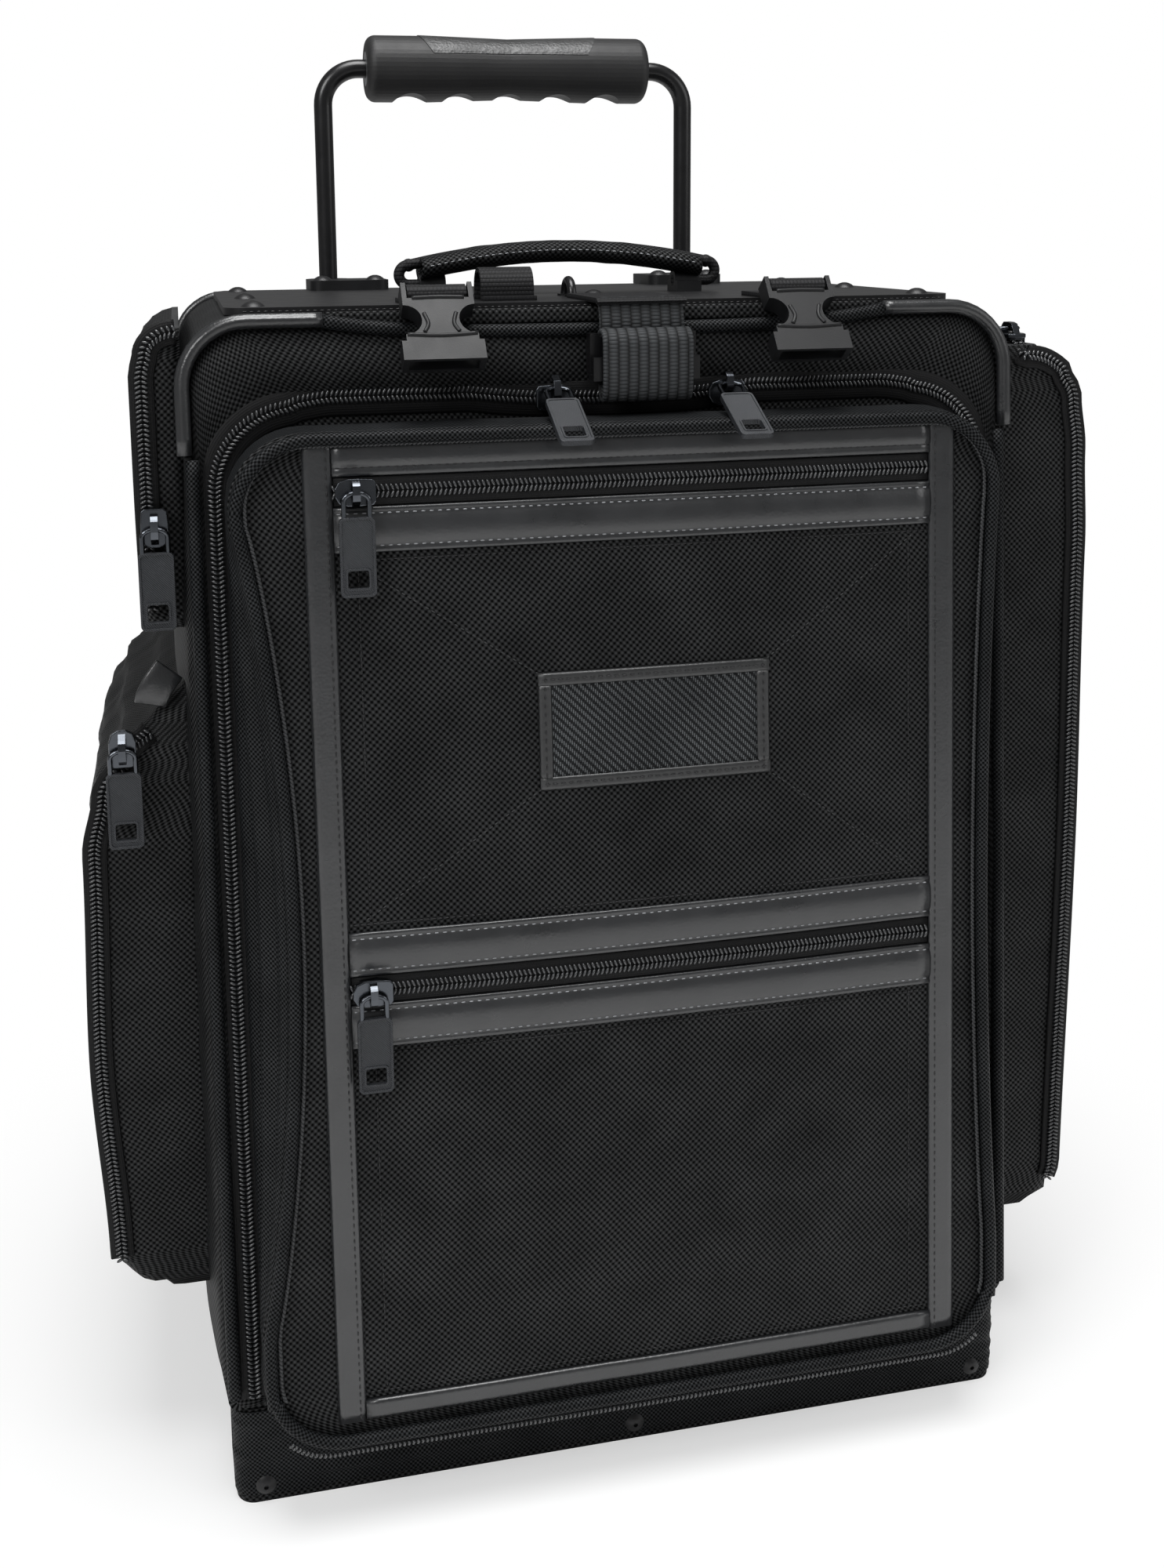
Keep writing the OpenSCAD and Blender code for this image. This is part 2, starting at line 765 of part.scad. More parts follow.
module grip_collars() {
    for (end = [-1, 1]) {
        color(alloy) translate([end * (grip_l / 2 - collar_t / 2), rod_y, grip_z]) difference() {
            bar_x(-collar_t / 2, collar_t / 2, collar_r);
            bar_x(-collar_t, collar_t, rod_r + slide_gap);
        }
    }
}

module rod_plugs() {
    for (side = [-1, 1]) {
        color(moulded) translate([side * rod_x, rod_y, rod_low - 3]) difference() {
            cylinder(r = tube_d / 2 - tube_t - slide_gap, h = plug_l);
            translate([0, 0, 3]) cylinder(r = rod_r, h = plug_l);
        }
    }
}

// ---------- carry handle ----------

carry_half = carry_span / 2 + anchor_w / 2 + carry_curl_r;
carry_sleeve_half = carry_half;
carry_end_z = carry_z + 2 * carry_curl_r;
carry_sag = carry_rise - 2 * carry_curl_r;
carry_bow_r = (carry_sleeve_half * carry_sleeve_half + carry_sag * carry_sag) / (2 * carry_sag);
carry_bow_a = 2 * asin(carry_sleeve_half / carry_bow_r);
sleeve_trim = 1;

// Bowed bar along X whose ends are at carry_end_z.
module bow(w, t, r, trim = 0) {
    translate([0, carry_y, carry_end_z + carry_sag - carry_bow_r]) rotate([90, 0, 0])
        rotate([0, 0, 90 - carry_bow_a / 2 + trim])
            rotate_extrude(angle = carry_bow_a - 2 * trim, $fn = 96) translate([carry_bow_r, 0]) {
                if (r > 0) {
                    circle(r);
                } else {
                    for (side = [-1, 1]) {
                        translate([0, side * (w / 2 - t / 2)]) circle(t / 2);
                    }
                    square([t, w - t], center = true);
                }
            }
}

module carry_sleeve() {
    color(nylon) difference() {
        bow(carry_w, carry_t, 0, sleeve_trim);
        bow(0, 0, core_d / 2);
    }
}

module carry_core() {
    knuckle_r = core_d / 2 + 0.5;
    color(web_black) {
        bow(0, 0, core_d / 2);
        for (side = [-1, 1]) {
            translate([side * carry_half, carry_y, carry_end_z]) sphere(knuckle_r);
            mirror([side < 0 ? 1 : 0, 0, 0]) {
                translate([carry_half, carry_y, carry_z + carry_curl_r]) rotate([90, 0, 0])
                    rotate([0, 0, -90]) rotate_extrude(angle = 180)
                        translate([carry_curl_r, 0]) circle(core_d / 2);
                translate([0, carry_y, carry_z]) bar_x(carry_span / 2 - anchor_w / 2, carry_half, core_d / 2);
            }
        }
    }
}

module carry_anchors() {
    for (side = [-1, 1]) {
        color(moulded) translate([side * carry_span / 2, carry_y, 0]) difference() {
            union() {
                translate([-anchor_w / 2, -anchor_d / 2, plate_z]) cube([anchor_w, anchor_d, carry_z - plate_z]);
                translate([0, 0, carry_z]) bar_x(-anchor_w / 2, anchor_w / 2, anchor_h - carry_z + plate_z);
            }
            translate([0, 0, carry_z]) bar_x(-anchor_w, anchor_w, core_d / 2 + slide_gap);
        }
    }
}

// ---------- loops and straps ----------

module strap_loop() {
    loop_w = 23;
    loop_r = 9;
    loop_y = front_y + loop_set;
    foot_l = 8;
    leg = 5;
    color(web_black) translate([loop_x, loop_y, plate_z]) {
        translate([-loop_w / 2, 0, leg]) rotate([90, 0, 90]) linear_extrude(loop_w) difference() {
            circle(loop_r);
            circle(loop_r - web_t);
            translate([-loop_r, -2 * loop_r]) square([2 * loop_r, 2 * loop_r]);
        }
        for (side = [-1, 1]) {
            translate([-loop_w / 2, side * (loop_r - web_t / 2) - web_t / 2, 0]) cube([loop_w, web_t, leg]);
            translate([-loop_w / 2, side > 0 ? loop_r - web_t : -loop_r - foot_l + web_t, 0])
                cube([loop_w, foot_l, web_t]);
        }
    }
}

module tie_loop() {
    wire_r = 2;
    loop_r = 7;
    color(gunmetal) translate([tie_x, front_y + tie_set, plate_z]) {
        rotate([90, 0, 90]) rotate_extrude(angle = 180) translate([loop_r, 0]) circle(wire_r);
        for (side = [-1, 1]) {
            translate([0, side * loop_r, 0]) cylinder(r = wire_r + 1.5, h = 1);
        }
    }
}

module top_webbing() {
    color(web_black) {
        translate([strap_x - strap_w / 2, strap_axis_y, plate_z])
            cube([strap_w, front_y + top_plate_set + web_run - strap_axis_y, web_t]);
        translate([strap_x - strap_w / 2, strap_axis_y, strap_axis_z]) rotate([90, 0, 90])
            linear_extrude(strap_w) intersection() {
                difference() {
                    circle(fold_in + web_t);
                    circle(fold_in);
                }
                polygon([
                    [0, 0], [0, fold_far], [-fold_far, fold_far],
                    [-fold_far * cos(fold_rise), fold_far * sin(fold_rise)]
                ]);
            }
        for (side = [-1, 1]) {
            translate([side * buckle_x + buckle_shift - buckle_web / 2, buckle_axis_y, plate_z])
                cube([buckle_web, top_plate_set + web_tail, web_t]);
            translate([side * buckle_x + buckle_shift, buckle_axis_y, buckle_axis_z]) difference() {
                bar_x(-buckle_web / 2, buckle_web / 2, web_ring_in + web_t);
                bar_x(-buckle_web, buckle_web, web_ring_in);
            }
        }
    }
}

module hook_strap() {
    layers = 2 * web_t;
    color(web_black) translate([strap_x, strap_axis_y, strap_axis_z]) {
        bar_x(-strap_w / 2, strap_w / 2, layers / 2);
        translate([-strap_w / 2, -layers / 2, -strap_drop]) cube([strap_w, layers, strap_drop]);
    }
}

module strap_hook() {
    flange = 3.2;
    hook_w = strap_w + 2 * flange + 0.6;
    hook_t = 2.4;
    hook_h = 19;
    lip = 6;
    front = -web_t - hook_t;
    color(black_steel) translate([strap_x, strap_axis_y, strap_low_z]) {
        translate([-hook_w / 2, front, hook_t]) cube([hook_w, hook_t, hook_h - hook_t]);
        translate([-hook_w / 2, front, hook_t]) cube([flange, hook_t + 2 * web_t, hook_h - hook_t]);
        translate([hook_w / 2 - flange, front, hook_t]) cube([flange, hook_t + 2 * web_t, hook_h - hook_t]);
        translate([-hook_w / 2, front - lip, 0]) cube([hook_w, lip + hook_t, hook_t]);
        translate([-hook_w / 2, front - lip, 0]) cube([hook_w, hook_t, hook_h / 2]);
    }
}

// Outline of a buckle on the XY plane: y = 0 at the bar, the mouth at the low end.
module buckle_outline() {
    waist = 15;
    waist_r = 7;
    waist_y = buckle_tail - 18;
    shoulder = 2;
    tail_w = buckle_web + 7;
    difference() {
        translate([-buckle_w / 2, buckle_tail - buckle_l]) square([buckle_w, buckle_l]);
        for (side = [-1, 1]) {
            translate([side * (waist / 2 + waist_r), waist_y]) circle(waist_r);
            translate([side * (waist / 2 + waist_r) + (side < 0 ? -big : 0), waist_y - waist_r])
                square([big, 2 * waist_r]);
            translate([side * (tail_w / 2) + (side < 0 ? -big : 0), waist_y]) square([big, big]);
            translate([side * (buckle_w / 2 - shoulder) + (side < 0 ? -big : 0), waist_y - waist_r - 3])
                square([big, big]);
        }
    }
}

// Receiving half of a side-release buckle. Local origin on its bar, mouth towards -Y.
module buckle(side) {
    ear_in = buckle_web / 2 + 0.6;
    slot_l = web_ring_in + web_t + 0.4;
    mouth_w = buckle_w - 5;
    mouth_t = buckle_t - 3;
    mouth_l = 13;
    color(moulded) translate([side * buckle_x + buckle_shift, buckle_axis_y, buckle_axis_z]) rotate([buckle_tilt, 0, 0]) {
        difference() {
            translate([0, 0, -buckle_t / 2]) linear_extrude(buckle_t) buckle_outline();
            translate([-ear_in, -slot_l, -buckle_t]) cube([2 * ear_in, big, 2 * buckle_t]);
            translate([-mouth_w / 2, buckle_tail - buckle_l - eps, -mouth_t / 2]) cube([mouth_w, mouth_l, mouth_t]);
        }
        bar_x(-ear_in - eps, ear_in + eps, bar_d / 2);
    }
}

// ---------- side pockets ----------

module upper_pocket() {
    h = upper_top - upper_low;
    r = min(upper_out, 16);
    color(nylon) translate([-case_w / 2, 0, upper_low]) intersection() {
        along_y(pocket_front, pocket_front + pocket_d) outline(2 * upper_out, h, r, 6);
        translate([-big, -big / 2, -1]) cube([big, big, big]);
    }
}

module lower_pouch() {
    color(nylon) translate([-case_w / 2, 0, 0]) along_y(pocket_front, pocket_front + pocket_d) hull() {
        translate([-4, pouch_top - 4]) circle(4, $fn = 32);
        translate([-0.5, pouch_low]) square([0.5, pouch_top - pouch_low]);
        translate([-pouch_out + 16, pouch_top - 50]) circle(16, $fn = 32);
        translate([-pouch_out + 14, pouch_low + 14]) circle(14, $fn = 32);
    }
}

module right_pocket() {
    color(nylon) translate([case_w / 2, 0, 0]) along_y(pocket_front, pocket_front + pocket_d) hull() {
        translate([0, right_low]) square([0.5, right_top - right_low]);
        translate([right_out - 28, right_top - 18]) circle(18, $fn = 32);
        translate([right_out - 21, right_top - 90]) circle(16, $fn = 32);
        translate([right_out - 14, right_low + 14]) circle(14, $fn = 32);
    }
}

// Straight zip: tape with a raised coil, along X, standing out along -Y.
module zip_run(l, w) {
    translate([-l / 2, -tape_t, -w / 2]) cube([l, tape_t, w]);
    translate([-l / 2, -tape_t - coil_t, -coil_w / 2]) cube([l, coil_t + eps, coil_w]);
}

module upright_zip(x, z0, z1, w) {
    translate([x, pocket_front, (z0 + z1) / 2]) rotate([0, 90, 0]) zip_run(z1 - z0, w);
}

module pocket_zips() {
    color(gunmetal) {
        upright_zip(upper_x, upper_low + 6, upper_top - 16, tape_w);
        upright_zip(pouch_x, pouch_low + 16, pouch_top - 14, tape_w);
        upright_zip(right_x, right_low + 16, right_top - 60, tape_w);
        translate([right_slider_x, pocket_front + pocket_d / 2, right_top]) rotate([-90, 0, 0])
            rotate([0, 90, 0]) zip_run(pocket_d - 8, tape_w);
    }
}

// ---------- lid ----------

module lid_gusset() {
    color(nylon) difference() {
        translate([0, 0, lid_z]) along_y(lid_low_y - 5, 0)
            ring_outline(lid_w, lid_h, lid_r, lid_r, lid_t);
        on_face() translate([-big / 2, -lid_lift, -big / 2]) cube([big, big, 2 * big]);
        before_lid();
    }
}

module lid_panel() {
    color(nylon) on_lid() {
        along_y(-lid_t, 0) outline(lid_w, lid_u(lid_top), lid_r, lid_r);
        for (zone = [
            [trim_low + low_band, zip_b_z - tape_w / 2 - strip_w],
            [zip_b_z + tape_w / 2 + strip_w, zip_a_z - tape_w / 2 - strip_w]
        ]) {
            translate([trim_x - inner_w / 2 + trim_gap, -lid_t - fabric_t, lid_u(zone[0] + trim_gap)])
                cube([inner_w - 2 * trim_gap, fabric_t + eps, lid_u(zone[1]) - lid_u(zone[0]) - 2 * trim_gap]);
        }
    }
}

module lid_piping() {
    color(nylon) on_lid() translate([0, -lid_t - lid_pipe_r - seat, lid_pipe_r])
        bead_ring(lid_w - 2 * lid_pipe_r, lid_u(lid_top) - 2 * lid_pipe_r, lid_r - lid_pipe_r, lid_pipe_r);
}

// One leather strip on the lid's panel, from x0 to x1 and from z0 to z1.
module strip(x0, x1, z0, z1) {
    translate([trim_x + x0, -lid_t - leather_t, lid_u(z0)])
        cube([x1 - x0, leather_t, lid_u(z1) - lid_u(z0)]);
}

module lid_trim() {
    half = trim_w / 2;
    inner = inner_w / 2 - trim_gap;
    tape_half = tape_w / 2;
    color(leather) on_lid() {
        strip(-half, -half + band_w, trim_low, trim_top);
        strip(half - band_w, half, trim_low, trim_top);
        strip(-inner, inner, zip_a_z + tape_half, trim_top);
        strip(-inner, inner, zip_a_z - tape_half - strip_w, zip_a_z - tape_half);
        strip(-inner, inner, zip_b_z + tape_half, zip_b_z + tape_half + strip_w);
        strip(-inner, inner, zip_b_z - tape_half - strip_w, zip_b_z - tape_half);
        strip(-inner, inner, trim_low, trim_low + low_band);
    }
}

module lid_zips() {
    outer_r = lid_r + lid_zip_side + coil_w / 2;
    coil_wide = lid_w + 2 * lid_zip_side + coil_w;
    coil_high = face_s(lid_top) + lid_zip_off + coil_w / 2 + lid_r;
    hem = zip_hem;
    color(gunmetal) {
        for (z = [zip_a_z, zip_b_z]) {
            on_lid() translate([trim_x, -lid_t, lid_u(z)]) zip_run(inner_w - 2 * trim_gap, tape_w - 2 * trim_gap);
        }
        on_face() difference() {
            union() {
                translate([0, -lid_lift, -lid_r]) along_y(-tape_t, 0) difference() {
                    translate([0, -hem]) outline(coil_wide + 2 * hem, coil_high + 2 * hem, outer_r + hem, outer_r);
                    outline(lid_w, face_s(lid_top) + lid_r, lid_r, lid_r);
                }
                translate([0, -lid_lift, -lid_r]) along_y(-tape_t - coil_t, -tape_t + eps)
                    ring_outline(coil_wide, coil_high, outer_r, outer_r, coil_w);
            }
            translate([-big / 2, -big / 2, -big + hinge_hem]) cube(big);
        }
    }
}

module patch() {
    patch_t = 1.2;
    color(gunmetal) on_lid()
        translate([patch_x - patch_w / 2, -lid_t - fabric_t - patch_t, lid_u(patch_z - patch_h / 2)]) cube([patch_w, patch_t, patch_h]);
}

// ---------- sliders and pulls ----------

// Slider over a coil that runs along X, standing out along -Y from the tape; up is its bail's height.
module slider_form(up = 0) {
    arch = bar_r + bail_gap;
    round_r = slider_l * 0.54;
    color(gunmetal) {
        difference() {
            along_y(-slider_t, -slider_gap) intersection() {
                square([slider_l, slider_w], center = true);
                circle(round_r);
            }
            translate([-slider_l, -coil_t - slider_gap, -coil_w / 2 - slider_gap])
                cube([2 * slider_l, coil_t + slider_gap + 1, coil_w + 2 * slider_gap]);
        }
        translate([-bail_w / 2, 0, up]) rotate([90, 0, 90]) linear_extrude(bail_w) difference() {
            translate([-hinge_out - arch - bail_wall, -arch - bail_wall])
                square([hinge_out + arch + bail_wall - slider_t + eps, 2 * (arch + bail_wall)]);
            translate([-hinge_out - arch, -arch]) square([hinge_out + arch - slider_t, 2 * arch]);
        }
    }
}

// Pull tab whose bar is on the local X axis and which hangs along -Z.
module pull_form() {
    ring_t = 2 * bar_r;
    side_w = (ring_w - bail_w) / 2 - 0.7;
    hole_z = ring_l + plate_l - slot_margin - slot_h;
    color(gunmetal) {
        bar_x(-ring_w / 2, ring_w / 2, bar_r);
        for (side = [-1, 1]) {
            translate([side * (ring_w / 2 - side_w / 2) - side_w / 2, -ring_t / 2, -ring_l - eps])
                cube([side_w, ring_t, ring_l + eps]);
        }
        difference() {
            translate([0, 0, -ring_l - plate_l]) along_y(-plate_t / 2, plate_t / 2)
                outline(plate_w, plate_l, 2.5, 1.2);
            translate([-slot_w / 2, -plate_t, -hole_z - slot_h]) cube([slot_w, 2 * plate_t, slot_h]);
        }
    }
}

module at_lid_zip(k) {
    on_face() translate([lid_slider_x[k], -lid_lift - tape_t, face_s(lid_top) + lid_zip_off]) children();
}

module at_panel_zip(z) {
    on_lid() translate([panel_slider_x, -lid_t - tape_t, lid_u(z)]) children();
}

module at_pocket_zip(x, z) {
    translate([x, pocket_front - tape_t, z]) children();
}

module at_right_zip() {
    translate([right_slider_x, pocket_front + right_slider_y, right_top + tape_t]) children();
}

module lid_pull(k) {
    at_lid_zip(k) translate([0, -hinge_out, hinge_up])
        rotate([face_tilt - 90 + lid_pull_down, 0, 0]) pull_form();
}

module panel_pull(z) {
    at_panel_zip(z) translate([0, -hinge_out, 0]) rotate([lid_tilt, 0, 0]) pull_form();
}

module slider_lid_left() { at_lid_zip(0) slider_form(hinge_up); }
module slider_lid_right() { at_lid_zip(1) slider_form(hinge_up); }
module pull_lid_left() { lid_pull(0); }
module pull_lid_right() { lid_pull(1); }
module slider_panel_upper() { at_panel_zip(zip_a_z) slider_form(); }
module slider_panel_lower() { at_panel_zip(zip_b_z) slider_form(); }
module pull_panel_upper() { panel_pull(zip_a_z); }
module pull_panel_lower() { panel_pull(zip_b_z); }

// Slider on an upright zip: the body is turned along the zip, the bail is not.
module slider_upright() {
    intersection() {
        rotate([0, 90, 0]) slider_form();
        translate([-big / 2, -slider_t, -big / 2]) cube([big, big, big]);
    }
    intersection() {
        slider_form();
        translate([-big / 2, -big - slider_t + eps, -big / 2]) cube([big, big, big]);
    }
}

module slider_pocket_upper() { at_pocket_zip(upper_x, upper_slider_z) slider_upright(); }
module pull_pocket_upper() {
    at_pocket_zip(upper_x, upper_slider_z) translate([0, -hinge_out, 0]) pull_form();
}
module slider_pouch() { at_pocket_zip(pouch_x, pouch_slider_z) slider_upright(); }
module pull_pouch() { at_pocket_zip(pouch_x, pouch_slider_z) translate([0, -hinge_out, 0]) pull_form(); }
module slider_right() { at_right_zip() rotate([-90, 0, 0]) slider_upright(); }
module pull_right() {
    at_right_zip() translate([0, 0, hinge_out]) rotate([90 - right_pull_drop, 0, 0]) pull_form();
}

module tyre_left() { tyre(-1); }
module tyre_right() { tyre(1); }
module hub_left() { hub(-1); }
module hub_right() { hub(1); }
module bearings_left() { bearings(-1); }
module bearings_right() { bearings(1); }
module buckle_left() { buckle(-1); }
module buckle_right() { buckle(1); }

base_plinth();
wheel_housings();
tyre_left();
tyre_right();
hub_left();
hub_right();
bearings_left();
bearings_right();
axles();
body_shell();
back_panel();
front_border();
frame_hoops();
front_piping();
corner_guards();
top_plate();
rivets();
bracket_screws();
handle_brackets();
guide_tubes();
foot_brackets();
pull_rod();
grip();
grip_inset();
grip_collars();
rod_plugs();
carry_sleeve();
carry_core();
carry_anchors();
strap_loop();
tie_loop();
top_webbing();
hook_strap();
strap_hook();
buckle_left();
buckle_right();
upper_pocket();
lower_pouch();
right_pocket();
pocket_zips();
lid_gusset();
lid_panel();
lid_piping();
lid_trim();
lid_zips();
patch();
slider_lid_left();
pull_lid_left();
slider_lid_right();
pull_lid_right();
slider_panel_upper();
pull_panel_upper();
slider_panel_lower();
pull_panel_lower();
slider_pocket_upper();
pull_pocket_upper();
slider_pouch();
pull_pouch();
slider_right();
pull_right();
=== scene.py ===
# %% [markdown]
# # A wheeled pilot case
# The metal and moulded parts come from the CAD model and keep their places. This file
# gives every part its finish, and makes the soft parts anew: sewn panels, piping,
# leather strips, zip coils, webbing and stitches. Lengths are written in millimetres and
# turned into metres once, when a mesh is made.

import json
import math

import bmesh
import bpy
from mathutils import Matrix, Vector, noise


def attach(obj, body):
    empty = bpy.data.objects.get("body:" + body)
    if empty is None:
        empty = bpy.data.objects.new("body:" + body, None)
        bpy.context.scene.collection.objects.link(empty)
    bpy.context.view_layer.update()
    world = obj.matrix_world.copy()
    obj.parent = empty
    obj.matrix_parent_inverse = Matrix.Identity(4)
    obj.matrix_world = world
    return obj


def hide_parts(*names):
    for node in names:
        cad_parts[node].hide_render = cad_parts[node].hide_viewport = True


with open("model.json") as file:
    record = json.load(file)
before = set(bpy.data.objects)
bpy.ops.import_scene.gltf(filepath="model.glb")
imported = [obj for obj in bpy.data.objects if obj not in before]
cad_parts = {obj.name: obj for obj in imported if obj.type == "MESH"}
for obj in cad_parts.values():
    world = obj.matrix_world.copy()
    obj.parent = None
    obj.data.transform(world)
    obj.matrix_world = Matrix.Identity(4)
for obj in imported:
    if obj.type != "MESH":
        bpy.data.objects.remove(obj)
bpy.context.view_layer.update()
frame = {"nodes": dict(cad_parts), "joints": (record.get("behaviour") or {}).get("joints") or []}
MM = 0.001

# %% [markdown]
# ## The case's own lines
# The front face leans: it stands further forward at the plinth than at the top. The lid
# is a shallow tray on that face, and its panel leans a little less. The soft pieces in
# front are drawn on these two planes, so a point is given by x, by height and by how far
# it stands out from the plane.

# %% Planes of the front face and of the lid
FRONT, BACK, TOP, PLINTH, LEAN = -102.0, 102.0, 499.0, 44.0, 34.0
HALF = 176.0
SLOPE = LEAN / (TOP - PLINTH)
FACE_OUT = Vector((0, -1, SLOPE)).normalized()
LID_LOW, LID_TOP, LID_HALF, LID_R = 38.0, 455.0, 161.0, 30.0
LID_T = 3.0
# How far the tray stands out at its low and at its top edge.
LID_DEEP_LOW, LID_DEEP_TOP = 18.0, 22.5


def face_y(z):
    return FRONT - (TOP - z) * SLOPE


LID_Y0 = face_y(LID_LOW) - LID_DEEP_LOW
LID_SLOPE = (face_y(LID_TOP) - LID_DEEP_TOP - LID_Y0) / (LID_TOP - LID_LOW)
LID_OUT = Vector((0, -1, LID_SLOPE)).normalized()
# The panel's padding: half its width, its low edge, its height, and how far it lifts.
PAD_HALF, PAD_LOW, PAD_TALL, PAD_SWELL, PAD_RIPPLE, RIPPLE_SIZE = 112, 46, 403, 2.6, 0.5, 60


def clamp(t):
    return min(1, max(0, t))


def on_face(x, z, out=0.0):
    return Vector((x, face_y(z), z)) + FACE_OUT * out


def pillow(x, z):
    across = max(0.0, 1 - (x / PAD_HALF) ** 2)
    up = max(0.0, math.sin(math.pi * clamp((z - PAD_LOW) / PAD_TALL)))
    soft = noise.noise(Vector((x / RIPPLE_SIZE, z / RIPPLE_SIZE, 3.0)))
    return PAD_SWELL * across * up ** 0.6 + PAD_RIPPLE * soft * across


def on_lid(x, z, out=0.0):
    lid = Vector((x, LID_Y0 + (z - LID_LOW) * LID_SLOPE, z))
    return lid + LID_OUT * (LID_T + out + pillow(x, z))


print("face leans", round(math.degrees(math.atan(SLOPE)), 2), "degrees")

# %% [markdown]
# ## Making meshes
# Almost every soft piece is a grid of points: one direction runs along the cloth and the
# other across it. One helper makes a mesh of such rows, and gives it a UV map in metres of
# cloth, so a weave keeps its size on every piece.

# %% Grid and sweep helpers
def show(name, data):
    """Put an object with this data into the scene."""
    obj = bpy.data.objects.new(name, data)
    bpy.context.scene.collection.objects.link(obj)
    return obj


def finish_mesh(name, verts, faces, uvs):
    mesh = bpy.data.meshes.new(name)
    mesh.from_pydata([tuple(v * MM) for v in verts], [], faces)
    layer = mesh.uv_layers.new(name="cloth")
    for poly, corners in zip(mesh.polygons, uvs):
        poly.use_smooth = True
        for loop, uv in zip(poly.loop_indices, corners):
            layer.data[loop].uv = (uv[0] * MM, uv[1] * MM)
    return show(name, mesh)


def steps(points, wrap):
    total, out = 0.0, [0.0]
    ring = points + points[:1] if wrap else points
    for a, b in zip(ring, ring[1:]):
        total += (b - a).length
        out.append(total)
    return out


def grid_faces(rows, wrap_u, wrap_v, flip, start=0):
    nu, nv = len(rows), len(rows[0])
    us = steps([r[nv // 2] for r in rows], wrap_u)
    vs = [steps(r, wrap_v) for r in rows]
    faces, uvs = [], []
    for i in range(nu if wrap_u else nu - 1):
        for j in range(nv if wrap_v else nv - 1):
            ring = [(i, j), (i + 1, j), (i + 1, j + 1), (i, j + 1)]
            if flip:
                ring.reverse()
            faces.append([start + (a % nu) * nv + b % nv for a, b in ring])
            uvs.append([(us[a], vs[a % nu][b]) for a, b in ring])
    return faces, uvs


def grid(name, rows, wrap_u=False, wrap_v=False, flip=False, thick=0.0):
    faces, uvs = grid_faces(rows, wrap_u, wrap_v, flip)
    obj = finish_mesh(name, [p for r in rows for p in r], faces, uvs)
    if thick:
        wall = obj.modifiers.new("wall", "SOLIDIFY")
        wall.thickness, wall.offset = thick * MM, -1
        wall.use_even_offset = True
    return obj


def tube_rows(path, outs, profile, wrap=False):
    rows, n = [], len(path)
    for i, p in enumerate(path):
        a = path[(i - 1) % n] if wrap or i > 0 else path[i]
        b = path[(i + 1) % n] if wrap or i < n - 1 else path[i]
        along = (b - a).normalized()
        out = outs[i] if isinstance(outs, list) else outs
        side = along.cross(out).normalized()
        up = side.cross(along).normalized()
        rows.append([p + side * s + up * o for s, o in profile])
    return rows


def outward(obj):
    shape = bmesh.new()
    shape.from_mesh(obj.data)
    bmesh.ops.recalc_face_normals(shape, faces=shape.faces)
    shape.to_mesh(obj.data)
    shape.free()


def new_parts():
    return {"v": [], "f": [], "u": []}


def add_tube(parts, rows, wrap=False):
    """Add a tube of rows to the parts, with its ends closed unless it is a ring."""
    start, nv = len(parts["v"]), len(rows[0])
    faces, uvs = grid_faces(rows, wrap, True, False, start)
    parts["v"] += [p for r in rows for p in r]
    parts["f"] += faces
    parts["u"] += uvs
    if not wrap:
        for row, turn in ((0, -1), (len(rows) - 1, 1)):
            parts["f"].append([start + row * nv + k for k in range(nv)][::turn])
            parts["u"].append([(0.0, 0.0)] * nv)


def joined(name, parts):
    obj = finish_mesh(name, parts["v"], parts["f"], parts["u"])
    outward(obj)
    return obj


def sweep(name, path, outs, profile, wrap=False, parts=None):
    """A closed tube of one profile along a path; parts collects several into one mesh."""
    store = new_parts() if parts is None else parts
    add_tube(store, tube_rows(path, outs, profile, wrap), wrap)
    return joined(name, store) if parts is None else None


def round_profile(r, n=12):
    return [(r * math.cos(a), r * math.sin(a)) for a in (math.tau * k / n for k in range(n))]


def flat_profile(w, t, edge=0.5, low=-0.3):
    e = min(edge, t * 0.7)
    h = w / 2
    return [(-h, low), (-h, t - e), (-h + e, t), (-h * 0.4, t), (h * 0.4, t), (h - e, t),
            (h, t - e), (h, low)]


def rounded_outline(x0, x1, z0, z1, r, n_side=24, n_arc=10, r_low=None):
    """Points anticlockwise round a rounded rectangle, from its low right corner."""
    pts = []
    low = r if r_low is None else r_low
    corners = [(x1 - low, z0 + low, -90, low), (x1 - r, z1 - r, 0, r),
               (x0 + r, z1 - r, 90, r), (x0 + low, z0 + low, 180, low)]
    for k, (cx, cz, a0, bend) in enumerate(corners):
        arc = []
        for i in range(n_arc + 1):
            a = math.radians(a0 + 90 * i / n_arc)
            arc.append((cx + bend * math.cos(a), cz + bend * math.sin(a)))
        pts += arc
        nx, nz, na, bend = corners[(k + 1) % 4]
        na = math.radians(na)
        nxt = (nx + bend * math.cos(na), nz + bend * math.sin(na))
        for i in range(1, n_side):
            t = i / n_side
            pts.append((arc[-1][0] * (1 - t) + nxt[0] * t, arc[-1][1] * (1 - t) + nxt[1] * t))
    return pts


# %% [markdown]
# ## Finishes
# Each finish is a small node tree. Cloth reads the piece's UV map, which is in metres of
# cloth; CAD nodes have no map, so they read Object coordinates and choose two axes by
# which way the face looks. Colours are written as hex and turned to linear once.

# %% Material helpers
MATH, MIX, NOISE = "ShaderNodeMath", "ShaderNodeMix", "ShaderNodeTexNoise"
BUMP, SPLIT, COORDS = "ShaderNodeBump", "ShaderNodeSeparateXYZ", "ShaderNodeTexCoord"
PER_METRE = 1000
NOISE_ROUGH = 0.6


